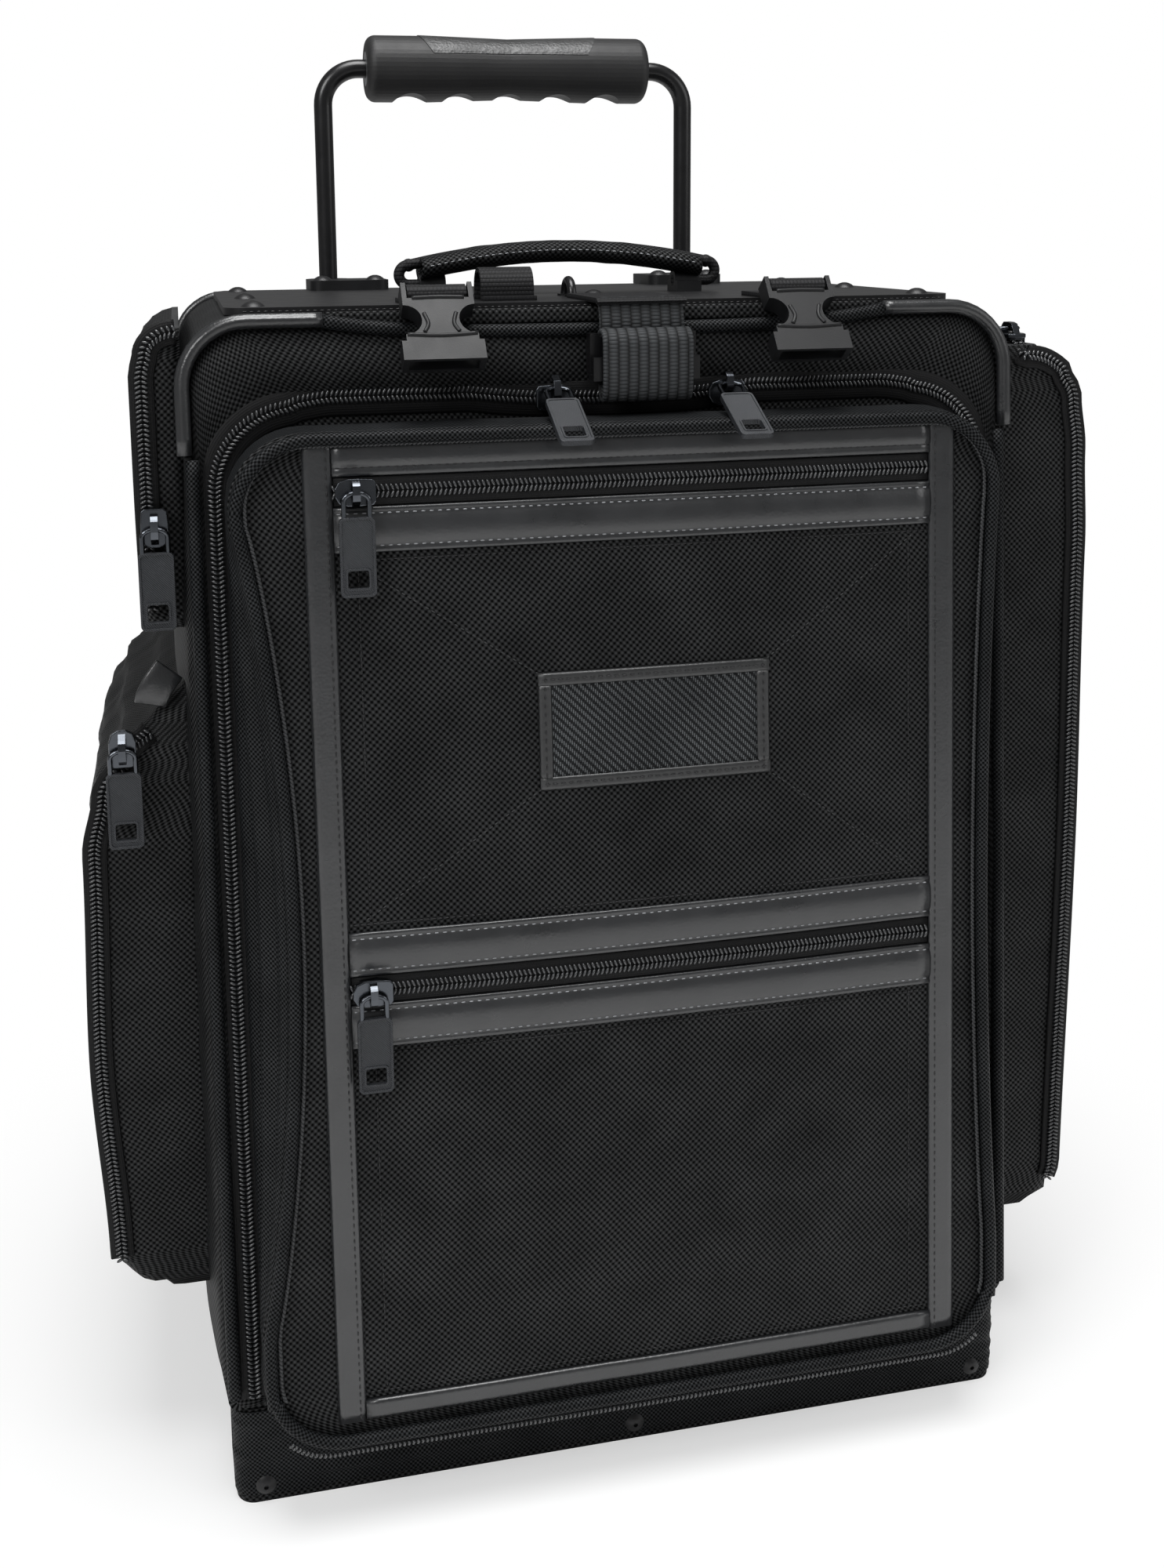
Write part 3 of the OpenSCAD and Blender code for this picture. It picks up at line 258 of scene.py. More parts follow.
def srgb(code):
    parts = [int(code[i:i + 2], 16) / 255 for i in (0, 2, 4)]
    linear = [c / 12.92 if c <= 0.04045 else ((c + 0.055) / 1.055) ** 2.4 for c in parts]
    return tuple(linear + [1.0])


def fill(tree, node, sockets):
    """Set a node's inputs. A socket is linked, and so is a node's first output."""
    for key, value in sockets.items():
        if isinstance(value, bpy.types.Node):
            value = value.outputs[0]
        if isinstance(value, bpy.types.NodeSocket):
            tree.links.new(value, node.inputs[key])
        else:
            node.inputs[key].default_value = value


def put(tree, kind, sockets=None, **settings):
    node = tree.nodes.new(kind)
    for key, value in settings.items():
        setattr(node, key, value)
    fill(tree, node, sockets or {})
    return node


def base_material(name, rough=0.5, metal=0.0, **sockets):
    mat = bpy.data.materials.new(name)
    mat.use_nodes = True
    shader = mat.node_tree.nodes["Principled BSDF"]
    shader.inputs["Roughness"].default_value = rough
    shader.inputs["Metallic"].default_value = metal
    for key, value in sockets.items():
        shader.inputs[key.replace("_", " ")].default_value = value
    return mat, mat.node_tree, shader


def cloth_axes(tree, mapped):
    """Two coordinates in millimetres along the cloth."""
    if mapped:
        u, v = put(tree, SPLIT, {0: put(tree, "ShaderNodeUVMap", uv_map="cloth")}).outputs[:2]
    else:
        p = put(tree, SPLIT, {0: put(tree, COORDS).outputs["Object"]}).outputs
        normal = put(tree, "ShaderNodeNewGeometry").outputs["True Normal"]
        n = put(tree, SPLIT, {0: normal}).outputs
        turned = []
        for axis in (0, 2):
            size = put(tree, MATH, {0: n[axis]}, operation="ABSOLUTE")
            turned.append(put(tree, MATH, {0: size, 1: 0.7}, operation="GREATER_THAN"))
        u = put(tree, MIX, {0: turned[0], 2: p[0], 3: p[1]})
        v = put(tree, MIX, {0: turned[1], 2: p[2], 3: p[1]})
    return [put(tree, MATH, {0: c, 1: PER_METRE}, operation="MULTIPLY") for c in (u, v)]


# %% [markdown]
# Ballistic nylon is woven from thick threads. Seen close it is a field of small crowns
# with a pit between every four. It could be modelled thread by thread, but a height
# made from two waves is lighter. That height drives the bump and the gloss, and paints
# the colour: pits painted dark as shade, crowns painted pale as highlight. The patch has a
# twill, whose crowns step sideways.

# %% Woven nylon
def plain_height(tree, u, v, cell):
    waves = []
    for c in (u, v):
        angle = put(tree, MATH, {0: c, 1: math.pi / cell}, operation="MULTIPLY")
        waves.append(put(tree, MATH, {0: angle}, operation="COSINE"))
    crowns = put(tree, MATH, {0: waves[0], 1: waves[1]}, operation="MULTIPLY")
    return put(tree, MATH, {0: crowns, 1: 0.5, 2: 0.5}, operation="MULTIPLY_ADD")


def twill_height(tree, u, v, cell):
    """A thread goes over two and under two, and each row starts one further on."""
    steps_on, ridges = [], []
    for c in (u, v):
        count = put(tree, MATH, {0: c, 1: cell}, operation="DIVIDE")
        steps_on.append(put(tree, MATH, {0: count}, operation="FLOOR"))
        angle = put(tree, MATH, {0: count, 1: math.pi}, operation="MULTIPLY")
        wave = put(tree, MATH, {0: angle}, operation="SINE")
        ridges.append(put(tree, MATH, {0: wave}, operation="ABSOLUTE"))
    total = put(tree, MATH, {0: steps_on[0], 1: steps_on[1]}, operation="ADD")
    place = put(tree, MATH, {0: total, 1: 4}, operation="FLOORED_MODULO")
    over = put(tree, MATH, {0: place, 1: 1.5}, operation="GREATER_THAN")
    under = put(tree, MATH, {0: ridges[1], 1: 0.3}, operation="MULTIPLY")
    return put(tree, MIX, {0: over, 2: under, 3: ridges[0]})


def woven(name, cell=1.35, mapped=True, low="010101", high="2d2e2f", depth=0.0003,
          rough=0.52, shape=plain_height):
    """cell is one thread's width in millimetres; low and high are painted shade and highlight.
    """
    mat, tree, shader = base_material(name, rough)
    height = shape(tree, *cloth_axes(tree, mapped), cell)
    place = put(tree, COORDS).outputs["Object"]
    patchy = put(tree, NOISE, {"Vector": place, "Scale": PER_METRE / 26, "Detail": 2,
                               "Roughness": NOISE_ROUGH})
    uneven = put(tree, MATH, {0: patchy, 1: 0.9, 2: 0.5}, operation="MULTIPLY_ADD")
    # Painted shade and highlight: the colour and the gloss are dark in the pits and light on the
    # crowns, in random patches.
    crown = put(tree, MATH, {0: height, 1: 1.4}, operation="POWER")
    shade = put(tree, MATH, {0: crown, 1: uneven}, operation="MULTIPLY")
    gloss = put(tree, MATH, {0: shade, 1: 0.3, 2: 0.015}, operation="MULTIPLY_ADD")
    colour = put(tree, MIX, {0: shade, 6: srgb(low), 7: srgb(high)}, data_type="RGBA")
    raised = put(tree, BUMP, {"Height": height, "Distance": depth, "Strength": 1.0})
    fill(tree, shader, {"Base Color": colour.outputs[2], "Specular IOR Level": gloss,
                        "Normal": raised})
    return mat


# Ballistic nylon: pits painted dark as shade and crowns painted pale as highlight. A thread is
# taken as 1.35 mm wide, about 19 to the inch.
nylon = woven("ballistic_nylon")
nylon_cad = woven("ballistic_nylon_plain", mapped=False)
# Twill-woven nylon: slanted ridges, glossier, with pits painted dark as shade and crowns painted
# pale as highlight. Drawn coarser than a real twill, whose threads are nearer 0.4 mm, so that
# the ridges show.
twill = woven("nylon_twill", cell=0.85, low="0c0c0d", high="55585a", depth=0.0002, rough=0.36,
              shape=twill_height)
# A lighter nylon for the lid's wall, the piping and the kick cloth: finer and flatter.
fine = dict(cell=1.0, high="26282a", depth=0.0002)
nylon_cad_fine = woven("fine_nylon_plain", mapped=False, **fine)
gusset_cloth = woven("fine_nylon", rough=0.55, **fine)
# Polyester lining: nearly flat. Drawn coarser than its real thread of about 0.2 mm.
lining = woven("polyester_lining", cell=0.7, mapped=False, low="080809", high="1a1a1c",
               depth=0.0001)

# %% [markdown]
# The other finishes: coated leather with a fine grain and soft gloss, ribbed webbing,
# flat zip tape, sandblasted zinc, moulded plastic, rubber, coated steel and alloy.

# %% Leather, webbing, metal and plastic
def leathery(name, low, high, rough, size=1.3, depth=0.00005):
    """size is one pebble of the grain in millimetres."""
    mat, tree, shader = base_material(name, rough, Specular_IOR_Level=0.75)
    place = put(tree, COORDS).outputs["Object"]
    tone, rub, dent = [put(tree, NOISE, {"Vector": place, "Scale": PER_METRE / wide,
                                         "Detail": detail, "Roughness": NOISE_ROUGH})
                       for wide, detail in ((30, 4), (12, 3), (22, 2))]
    cells = put(tree, "ShaderNodeTexVoronoi", {"Vector": place, "Scale": PER_METRE / size})
    colour = put(tree, MIX, {0: tone, 6: srgb(low), 7: srgb(high)}, data_type="RGBA")
    rubbed = put(tree, MATH, {0: rub, 1: 0.3, 2: rough - 0.13}, operation="MULTIPLY_ADD")
    soft = put(tree, BUMP, {"Height": dent, "Distance": 0.0004, "Strength": 0.5})
    grained = put(tree, BUMP, {"Height": cells.outputs["Distance"], "Distance": depth,
                               "Strength": 1.0, "Normal": soft})
    fill(tree, shader, {"Base Color": colour.outputs[2], "Roughness": rubbed, "Normal": grained})
    return mat


def ribbed(name, along, across, low, high, depth, mapped=True):
    """Webbing: ribs that run along it, crossed by fine picks. Both widths are in mm. low and
    high are painted shade and highlight.
    """
    mat, tree, shader = base_material(name, 0.6, Specular_IOR_Level=0.2)
    u, v = cloth_axes(tree, mapped)
    angle = put(tree, MATH, {0: v, 1: math.pi / across}, operation="MULTIPLY")
    wave = put(tree, MATH, {0: angle}, operation="SINE")
    rib = put(tree, MATH, {0: wave}, operation="ABSOLUTE")
    row = put(tree, MATH, {0: v, 1: across}, operation="DIVIDE")
    whole = put(tree, MATH, {0: row}, operation="FLOOR")
    count = put(tree, MATH, {0: u, 1: along}, operation="DIVIDE")
    shifted = put(tree, MATH, {0: whole, 1: 0.5, 2: count}, operation="MULTIPLY_ADD")
    turn = put(tree, MATH, {0: shifted, 1: math.pi}, operation="MULTIPLY")
    swing = put(tree, MATH, {0: turn}, operation="SINE")
    pick = put(tree, MATH, {0: swing}, operation="ABSOLUTE")
    full = put(tree, MATH, {0: rib, 1: 0.7}, operation="POWER")
    dips = put(tree, MATH, {0: pick, 1: 0.5, 2: 0.5}, operation="MULTIPLY_ADD")
    height = put(tree, MATH, {0: full, 1: dips}, operation="MULTIPLY")
    # Painted shade and highlight: the colour is dark in the grooves and light on the ribs.
    colour = put(tree, MIX, {0: height, 6: srgb(low), 7: srgb(high)}, data_type="RGBA")
    raised = put(tree, BUMP, {"Height": height, "Distance": depth, "Strength": 1.0})
    fill(tree, shader, {"Base Color": colour.outputs[2], "Normal": raised})
    return mat


def coated(name, low, high, rough, metal=0.0, size=0.5, depth=0.00003, level=0.5):
    """A hard, even finish; size is one bump of its texture in millimetres."""
    mat, tree, shader = base_material(name, rough, metal, Specular_IOR_Level=level)
    place = put(tree, COORDS).outputs["Object"]
    tone, rub, bumps = [put(tree, NOISE, {"Vector": place, "Scale": PER_METRE / wide,
                                          "Detail": detail, "Roughness": NOISE_ROUGH})
                        for wide, detail in ((18, 3), (9, 3), (size, 2))]
    colour = put(tree, MIX, {0: tone, 6: srgb(low), 7: srgb(high)}, data_type="RGBA")
    rubbed = put(tree, MATH, {0: rub, 1: 0.16, 2: rough - 0.08}, operation="MULTIPLY_ADD")
    raised = put(tree, BUMP, {"Height": bumps, "Distance": depth, "Strength": 1.0})
    fill(tree, shader, {"Base Color": colour.outputs[2], "Roughness": rubbed, "Normal": raised})
    return mat


def knurl(mat, pitch=0.95, depth=0.00007):
    """Fine slanted lines pressed into a cast face."""
    tree = mat.node_tree
    shader = tree.nodes["Principled BSDF"]
    cast = shader.inputs["Normal"].links[0].from_socket
    p = put(tree, SPLIT, {0: put(tree, COORDS).outputs["Object"]}).outputs
    level = put(tree, MATH, {0: p[0], 1: p[1]}, operation="ADD")
    slant = put(tree, MATH, {0: level, 1: p[2]}, operation="ADD")
    turn = math.tau * PER_METRE / pitch
    angle = put(tree, MATH, {0: slant, 1: turn}, operation="MULTIPLY")
    lines = put(tree, MATH, {0: angle}, operation="SINE")
    pressed = put(tree, BUMP, {"Height": lines, "Distance": depth, "Strength": 1.0,
                               "Normal": cast})
    fill(tree, shader, {"Normal": pressed})


# %% The other finishes
# Pigment-coated leather: a soft sheen, broken by a pebbled grain.
leather = leathery("coated_leather", "191a1b", "2b2c2e", 0.3)
guard_leather = leathery("coated_leather_fine", "131415", "222325", 0.33, size=0.9)
patch_leather = leathery("coated_leather_dull", "141516", "1f2021", 0.4)
# Nylon webbing: bold ribs, with the grooves painted dark as shade. The thin kind is a narrow,
# close weave.
webbing = ribbed("nylon_webbing", 1.55, 4.2, "030303", "3a3c3e", 0.0005)
thin_webbing_cad = ribbed("nylon_webbing_thin", 1.6, 1.8, "060606", "1f1f21", 0.0002, False)
# Polyester zip tape: dull and flat. Drawn coarser than its real ribs of about 0.5 mm.
tape_cad = ribbed("polyester_tape_plain", 0.9, 1.0, "050506", "101011", 0.00008, False)
tape = ribbed("polyester_tape", 0.9, 1.0, "050506", "101011", 0.00008)
# Nylon monofilament: the coil's loops are smooth and glint.
coil_nylon = coated("nylon_coil", "1a1a1c", "333537", 0.28, size=2, level=0.9)
# Bonded nylon thread, in pale grey, dark grey and black: a faint sheen on each stitch.
thread = coated("nylon_thread", "77797c", "9a9c9f", 0.5, size=0.4)
dim_thread = coated("nylon_thread_dim", "1c1d1e", "2c2d2e", 0.5, size=0.4)
dark_thread = coated("nylon_thread_black", "08080a", "1a1a1c", 0.5, size=0.4)
dim_cord = coated("nylon_cord", "101011", "343638", 0.5, size=0.6)
# Die-cast zinc, sandblasted: it scatters the light. The grit is drawn coarser than the
# real one of about 0.15 mm, and so are the pressed lines.
blasted = coated("blasted_zinc", "232528", "34363a", 0.46, 0.3, size=0.35, depth=0.00006)
knurl(blasted)
# Die-cast zinc, black nickel plated: sharp dark mirror edges.
gunmetal = coated("black_nickel", "44474b", "5c5f64", 0.24, 1.0, size=3, depth=0.00001)
# Acetal from a spark-eroded mould: an even, satin black. Its texture is drawn coarser
# than the real one of about 0.1 mm.
moulded = coated("moulded_acetal", "0c0c0d", "17181a", 0.46, depth=0.00004, level=0.35)
# Painted steel rod and powder-coated aluminium plate: smooth gloss, and a fine peel.
satin_steel = coated("painted_steel", "0b0b0c", "131315", 0.3, 0.2, size=3, depth=0.00001,
                     level=0.6)
plate_metal = coated("powder_coated_aluminium", "101011", "1c1c1e", 0.42, 0.2, size=0.8)
# Turned aluminium: the only bright metal, mostly out of sight.
bright_alloy = coated("turned_aluminium", "8d8f92", "a9abae", 0.35, 0.9, size=1.0)
# Moulded rubber for the grip and its grained inset, and for the wheels' tread.
rubber = coated("moulded_rubber", "0f0f10", "1b1b1c", 0.55, size=1.4, depth=0.00006)
grip_grain = leathery("grained_rubber", "0e0e0f", "191a1b", 0.5, size=1.7, depth=0.00018)
tread = coated("tread_rubber", "111112", "1b1b1c", 0.6, size=1.2)
print(len(bpy.data.materials), "finishes")


def wear(obj, material, body=None, replaces=()):
    """Give a piece its finish, its body and the nodes it stands for."""
    obj.data.materials.clear()
    obj.data.materials.append(material)
    if body:
        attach(obj, body)
    if replaces:
        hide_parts(*replaces)
    return obj


# %% [markdown]
# ## Finishes for the CAD nodes
# Hard parts keep their CAD shape. Each one only has its material slots filled.

# %% Dress the CAD nodes
CAD_FINISH = {
    nylon_cad: ["base_plinth", "back_panel", "carry_sleeve"],
    lining: ["body_shell", "front_border", "lid_gusset", "lid_panel"],
    moulded: ["wheel_housings", "hub_left", "hub_right", "handle_brackets", "foot_brackets",
              "rod_plugs", "carry_anchors", "buckle_left", "buckle_right"],
    tread: ["tyre_left", "tyre_right"],
    bright_alloy: ["bearings_left", "bearings_right", "axles", "frame_hoops",
                   "grip_collars"],
    satin_steel: ["pull_rod", "guide_tubes", "strap_hook", "tie_loop"],
    plate_metal: ["top_plate", "rivets", "bracket_screws"],
    rubber: ["grip"],
    grip_grain: ["grip_inset"],
    blasted: [n for n in frame["nodes"]
              if n.startswith(("slider_", "pull_")) and n != "pull_rod"],
    thin_webbing_cad: ["carry_core", "strap_loop", "top_webbing", "hook_strap"],
    tape_cad: ["pocket_zips", "lid_zips"],
    guard_leather: ["corner_guards"],
    leather: ["lid_trim"],
    patch_leather: ["patch"],
    nylon_cad_fine: ["front_piping", "lid_piping", "upper_pocket", "lower_pouch",
                     "right_pocket"],
}
for material, names in CAD_FINISH.items():
    for node_name in names:
        data = bpy.data.objects[node_name].data
        for index in range(max(1, len(data.materials))):
            if index < len(data.materials):
                data.materials[index] = material
            else:
                data.materials.append(material)
print(sum(len(v) for v in CAD_FINISH.values()), "nodes dressed")

# %% [markdown]
# ## The body's cloth
# The shell is one wrap of padded nylon over a stiff ring, so it is drawn round the
# body's outline and taken back along its depth. Between its stiff edges the cloth
# wanders a little in and out.

# %% Body wrap
def ripple(x, y, z, size, seed=0.0):
    return noise.noise(Vector((x / size + seed, y / size, z / size)))


def outline_out(pts, k):
    n = len(pts)
    a, b = Vector(pts[(k - 1) % n]), Vector(pts[(k + 1) % n])
    t = (b - a).normalized()
    return Vector((t[1], 0, -t[0]))


body_ring = rounded_outline(-HALF, HALF, PLINTH, TOP, 24, 40, 10, 5)
FLANK_SWELL, EVEN_SWELL, CLOTH_WANDER = 7.0, 1.4, 1.3


def wrap_point(k, v):
    x, z = body_ring[k]
    y0 = face_y(z) + 0.5
    y = y0 + (BACK - y0) * v
    hold = math.sin(math.pi * clamp(v)) ** 0.5
    flank = FLANK_SWELL * hold * (abs(x) > HALF - 1) * clamp((TOP - 60 - z) / 60)
    swell = EVEN_SWELL * hold + flank + CLOTH_WANDER * hold * ripple(x, y, z, 55)
    lift = swell if PLINTH + 12 < z < TOP - 0.5 else 0.25 * hold
    return Vector((x, y, z)) + outline_out(body_ring, k) * lift


wrap_rows = [[wrap_point(k, j / 36) for j in range(37)] for k in range(len(body_ring))]
body_cloth = grid("body_cloth", wrap_rows, wrap_u=True, flip=True, thick=4)
wear(body_cloth, nylon, "case", ["body_shell"])
print("body wrap", len(body_cloth.data.vertices), "points")

# %% [markdown]
# The front border is a padded frame between the piping and the lid's zip. It swells
# between its two sewn edges, most of all along the top.

# %% Front border
outer = rounded_outline(-HALF + 3, HALF - 3, PLINTH + 1, TOP - 4, 22, r_low=5)
zip_edge = rounded_outline(-LID_HALF - 8, LID_HALF + 8, PLINTH + 4, LID_TOP + 12, 36,
                           r_low=8)
hole = rounded_outline(-150, 150, PLINTH + 8, LID_TOP - 8, 22, r_low=8)


def border_rows():
    rows = []
    for k in range(len(outer)):
        row = []
        for j in range(15):
            t = j / 14
            if t < 0.6:
                s = t / 0.6
                x, z = Vector(outer[k]).lerp(Vector(zip_edge[k]), s)
                wide = (Vector(outer[k]) - Vector(zip_edge[k])).length
                swell = math.sin(math.pi * s) ** 0.7 * min(3.4, wide * 0.16)
                out = swell * (1 + 0.5 * ripple(x, 0, z, 38, 2))
            else:
                s = (t - 0.6) / 0.4
                x, z = Vector(zip_edge[k]).lerp(Vector(hole[k]), s)
                out = 0.0
            row.append(on_face(x, z, out))
        rows.append(row)
    return rows


border = grid("front_border_cloth", border_rows(), wrap_u=True, thick=3)
wear(border, nylon, "case", ["front_border"])

# %% [markdown]
# Piping is a cord sewn into the edge. Along the sides and the middle of the top it is
# covered with the same nylon, and it dips a little between the two corner guards. The
# guards are coated leather over two cords, so they show a groove along their length.

# %% Piping and corner guards
PIPE_R, PIPE_OUT, GUARD_X = 2.8, 2.85, 120.0
GUARD_R, GUARD_GROOVE, GUARD_OUT = 3.0, 2.6, 3.2
CORNER_R, CORNER_DROP, EDGE_IN = 26, 26, 2
PIPE_LOW, PIPE_TOP, DIP_Z, DIP = 52, 443, 490.8, 5.6


def guard_path():
    cx, cz = HALF - CORNER_R, TOP - EDGE_IN - CORNER_R
    pts = [(GUARD_X + (cx - GUARD_X) * k / 8, TOP - EDGE_IN) for k in range(9)]
    for degrees in range(9, 91, 9):
        a = math.radians(degrees)
        pts.append((cx + CORNER_R * math.sin(a), cz + CORNER_R * math.cos(a)))
    pts += [(HALF, cz - CORNER_DROP * k / 4) for k in range(1, 5)]
    return pts


piping_parts, guard_parts = new_parts(), new_parts()
cord = round_profile(PIPE_R)
for side in (-1, 1):
    heights = [PIPE_LOW + (PIPE_TOP - PIPE_LOW) * k / 60 for k in range(61)]
    run = [on_face(side * (HALF - PIPE_R), z, PIPE_OUT) for z in heights]
    sweep("", run, FACE_OUT, cord, parts=piping_parts)
reach = GUARD_X - 0.3
across = [-reach + 2 * reach * k / 60 for k in range(61)]
top_run = [on_face(x, DIP_Z + DIP * (abs(x) / reach) ** 4, PIPE_OUT) for x in across]
sweep("", top_run, FACE_OUT, cord, parts=piping_parts)
front_cord = joined("front_piping_cord", piping_parts)
wear(front_cord, gusset_cloth, "case", ["front_piping"])

lobes = []
for degrees in range(0, 360, 18):
    bend, a = GUARD_GROOVE if degrees in (36, 54) else GUARD_R, math.radians(degrees)
    lobes.append((bend * math.cos(a), bend * math.sin(a)))
for side in (-1, 1):
    path = [on_face(side * x, z, GUARD_OUT) for x, z in guard_path()]
    sweep("", path, FACE_OUT, lobes, parts=guard_parts)
guards = joined("corner_guard_leather", guard_parts)
wear(guards, guard_leather, "case", ["corner_guards"])
print("piping and guards done")

# %% [markdown]
# ## The lid
# The lid's side wall is soft. It starts straight at the zip and is drawn in at half
# height, more on the left, so its front edge has a waist and the wall falls in upright
# pleats. The panel inside the front edge is a padded sheet.

# %% Lid wall
WAIST_LEFT, WAIST_RIGHT, PLEAT = 16, -5, 1.9


def waist(x, z):
    pull = math.sin(math.pi * clamp((z - 92) / 328)) ** 0.8
    return pull * (WAIST_LEFT if x < 0 else WAIST_RIGHT) if abs(x) > 100 else 0.0


lid_back = rounded_outline(-LID_HALF, LID_HALF, LID_LOW, LID_TOP, LID_R, 36, 10)
lid_front = [(x + waist(x, z), z) for x, z in lid_back]


def wall_point(k, v):
    xb, zb = lid_back[k]
    xf, zf = lid_front[k]
    back = on_face(xb, zb, 0.6)
    front = Vector((xf, LID_Y0 + (zf - LID_LOW) * LID_SLOPE, zf)) + LID_OUT * LID_T
    p = back.lerp(front, v)
    upright = clamp((zb - 75) / 60) * clamp((430 - zb) / 60) * (abs(xb) > 150)
    pleat = PLEAT * upright * math.sin(v * math.tau * 2.5) * math.sin(math.pi * v)
    swell = 1.2 * math.sin(math.pi * v) * (1 + 0.8 * ripple(xb, 0, zb, 45, 5))
    return p + outline_out(lid_back, k) * (pleat + swell * (0.4 if upright else 1))


wall_rows = [[wall_point(k, j / 20) for j in range(21)] for k in range(len(lid_back))]
lid_wall = grid("lid_wall_cloth", wall_rows, wrap_u=True, thick=2.6)
wear(lid_wall, gusset_cloth, "lid", ["lid_gusset"])


# %% Lid panel
def lid_sides(z):
    r = LID_R
    if z > LID_TOP - r:
        bow = math.sqrt(max(0, r * r - (z - LID_TOP + r) ** 2))
    elif z < LID_LOW + r:
        bow = math.sqrt(max(0, r * r - (LID_LOW + r - z) ** 2))
    else:
        bow = r
    half = LID_HALF - r + bow
    return -half + waist(-half, z), half + waist(half, z)


def panel_rows(nx=56, nz=96):
    """Rows lie closer together near the panel's low and top edges."""
    rows = []
    for i in range(nz + 1):
        t = 0.5 - 0.5 * math.cos(math.pi * i / nz)
        z = LID_LOW + (LID_TOP - LID_LOW) * t
        a, b = lid_sides(z)
        rows.append([on_lid(a + (b - a) * k / nx, z) for k in range(nx + 1)])
    return rows


lid_cloth = grid("lid_panel_cloth", panel_rows(), flip=True, thick=2.6)
wear(lid_cloth, nylon, "lid", ["lid_panel"])

BEAD_R = 2.6
bead_path = []
for x, z in lid_front:
    x -= (BEAD_R if x > 0 else -BEAD_R) * (abs(x) > 128)
    z += (BEAD_R if z < 60 else -BEAD_R) * (z < 66 or z > 427)
    seat = Vector((x, LID_Y0 + (z - LID_LOW) * LID_SLOPE, z))
    bead_path.append(seat + LID_OUT * (LID_T + 2.65))
lid_bead = sweep("lid_piping_cord", bead_path, LID_OUT, round_profile(BEAD_R), wrap=True)
wear(lid_bead, gusset_cloth, "lid", ["lid_piping"])
print("lid wall, panel and piping done")

# %% [markdown]
# Leather strips frame the panel and both zips. A strip is a thin band with a rounded
# edge that follows the panel's swell.

# %% Leather strips
TRIM_HALF, TRIM_X, BAND = 136.5, 4.5, 11.5
INNER = TRIM_HALF - BAND


def wide_profile(h, thick, groove=2.6):
    """A wide strip has a sewn groove near each edge and swells between them."""
    left_side = [(-h, -0.3), (-h, thick - 0.5), (-h + 0.5, thick + 0.1),
                 (-h + groove - 1, thick), (-h + groove, thick - 0.35),
                 (-h + groove + 1.2, thick + 0.3), (-2.5, thick + 0.8)]
    right_side = [(2.5, thick + 0.8), (h - groove - 1.2, thick + 0.3),
                  (h - groove, thick - 0.35), (h - groove + 1, thick),
                  (h - 0.5, thick + 0.1), (h, thick - 0.5), (h, -0.3)]
    return left_side + [(0, thick + 0.95)] + right_side


def lid_band(parts, along, low, high, start, end, thick, n=40, edge=0.5, prof=None):
    mid, wide = (low + high) / 2, high - low
    if wide > 16:
        prof = wide_profile(wide / 2, thick)
    elif prof is None:
        prof = flat_profile(wide, thick, edge)
    rows = []
    for k in range(n + 1):
        s = start + (end - start) * k / n
        if along == "x":
            rows.append([on_lid(s, mid + a, o) for a, o in prof])
        else:
            rows.append([on_lid(mid + a, s, o) for a, o in prof])
    add_tube(parts, rows)


ZIP_A, ZIP_B, TAPE_HALF, STRIP = 431.5, 230.5, 6.0, 18.0
TRIM_TOP, TRIM_LOW = 447.0, 48.0
left, right_in = TRIM_X - INNER, TRIM_X + INNER
strip_lows = (ZIP_A - TAPE_HALF - STRIP, ZIP_B + TAPE_HALF, ZIP_B - TAPE_HALF - STRIP)
strips = new_parts()
for x0, x1 in ((-TRIM_HALF, -INNER), (INNER, TRIM_HALF)):
    lid_band(strips, "z", TRIM_X + x0, TRIM_X + x1, TRIM_LOW, TRIM_TOP + 5.5, 2.1, 80, 1.2)
top_band = [(-8, -0.3), (-8, 1.1), (-7.4, 1.6), (-5.2, 1.6), (-4.6, 1.2), (-4, 1.7),
            (-1, 2.0), (2, 1.7), (5, 0.7), (7.4, -1.0), (8.2, -2.6)]
band_z = ZIP_A + TAPE_HALF
lid_band(strips, "x", band_z, band_z + 16, left, right_in, 1.5, 60, prof=top_band)
for z0 in strip_lows:
    lid_band(strips, "x", z0, z0 + STRIP, left, right_in, 1.5)
lid_band(strips, "x", TRIM_LOW, TRIM_LOW + 8, left, right_in, 1.9, edge=0.9)
trim = joined("lid_leather_trim", strips)
wear(trim, leather, "lid", ["lid_trim"])
print("strips done")

# %% [markdown]
# ## Side pockets
# A pocket is a closed padded shape that is sewn to the body's side. Its section in plan
# is a rounded box; its height profile says how far it stands out at each level. The
# cloth sags between the seams, so low folds are added across it.

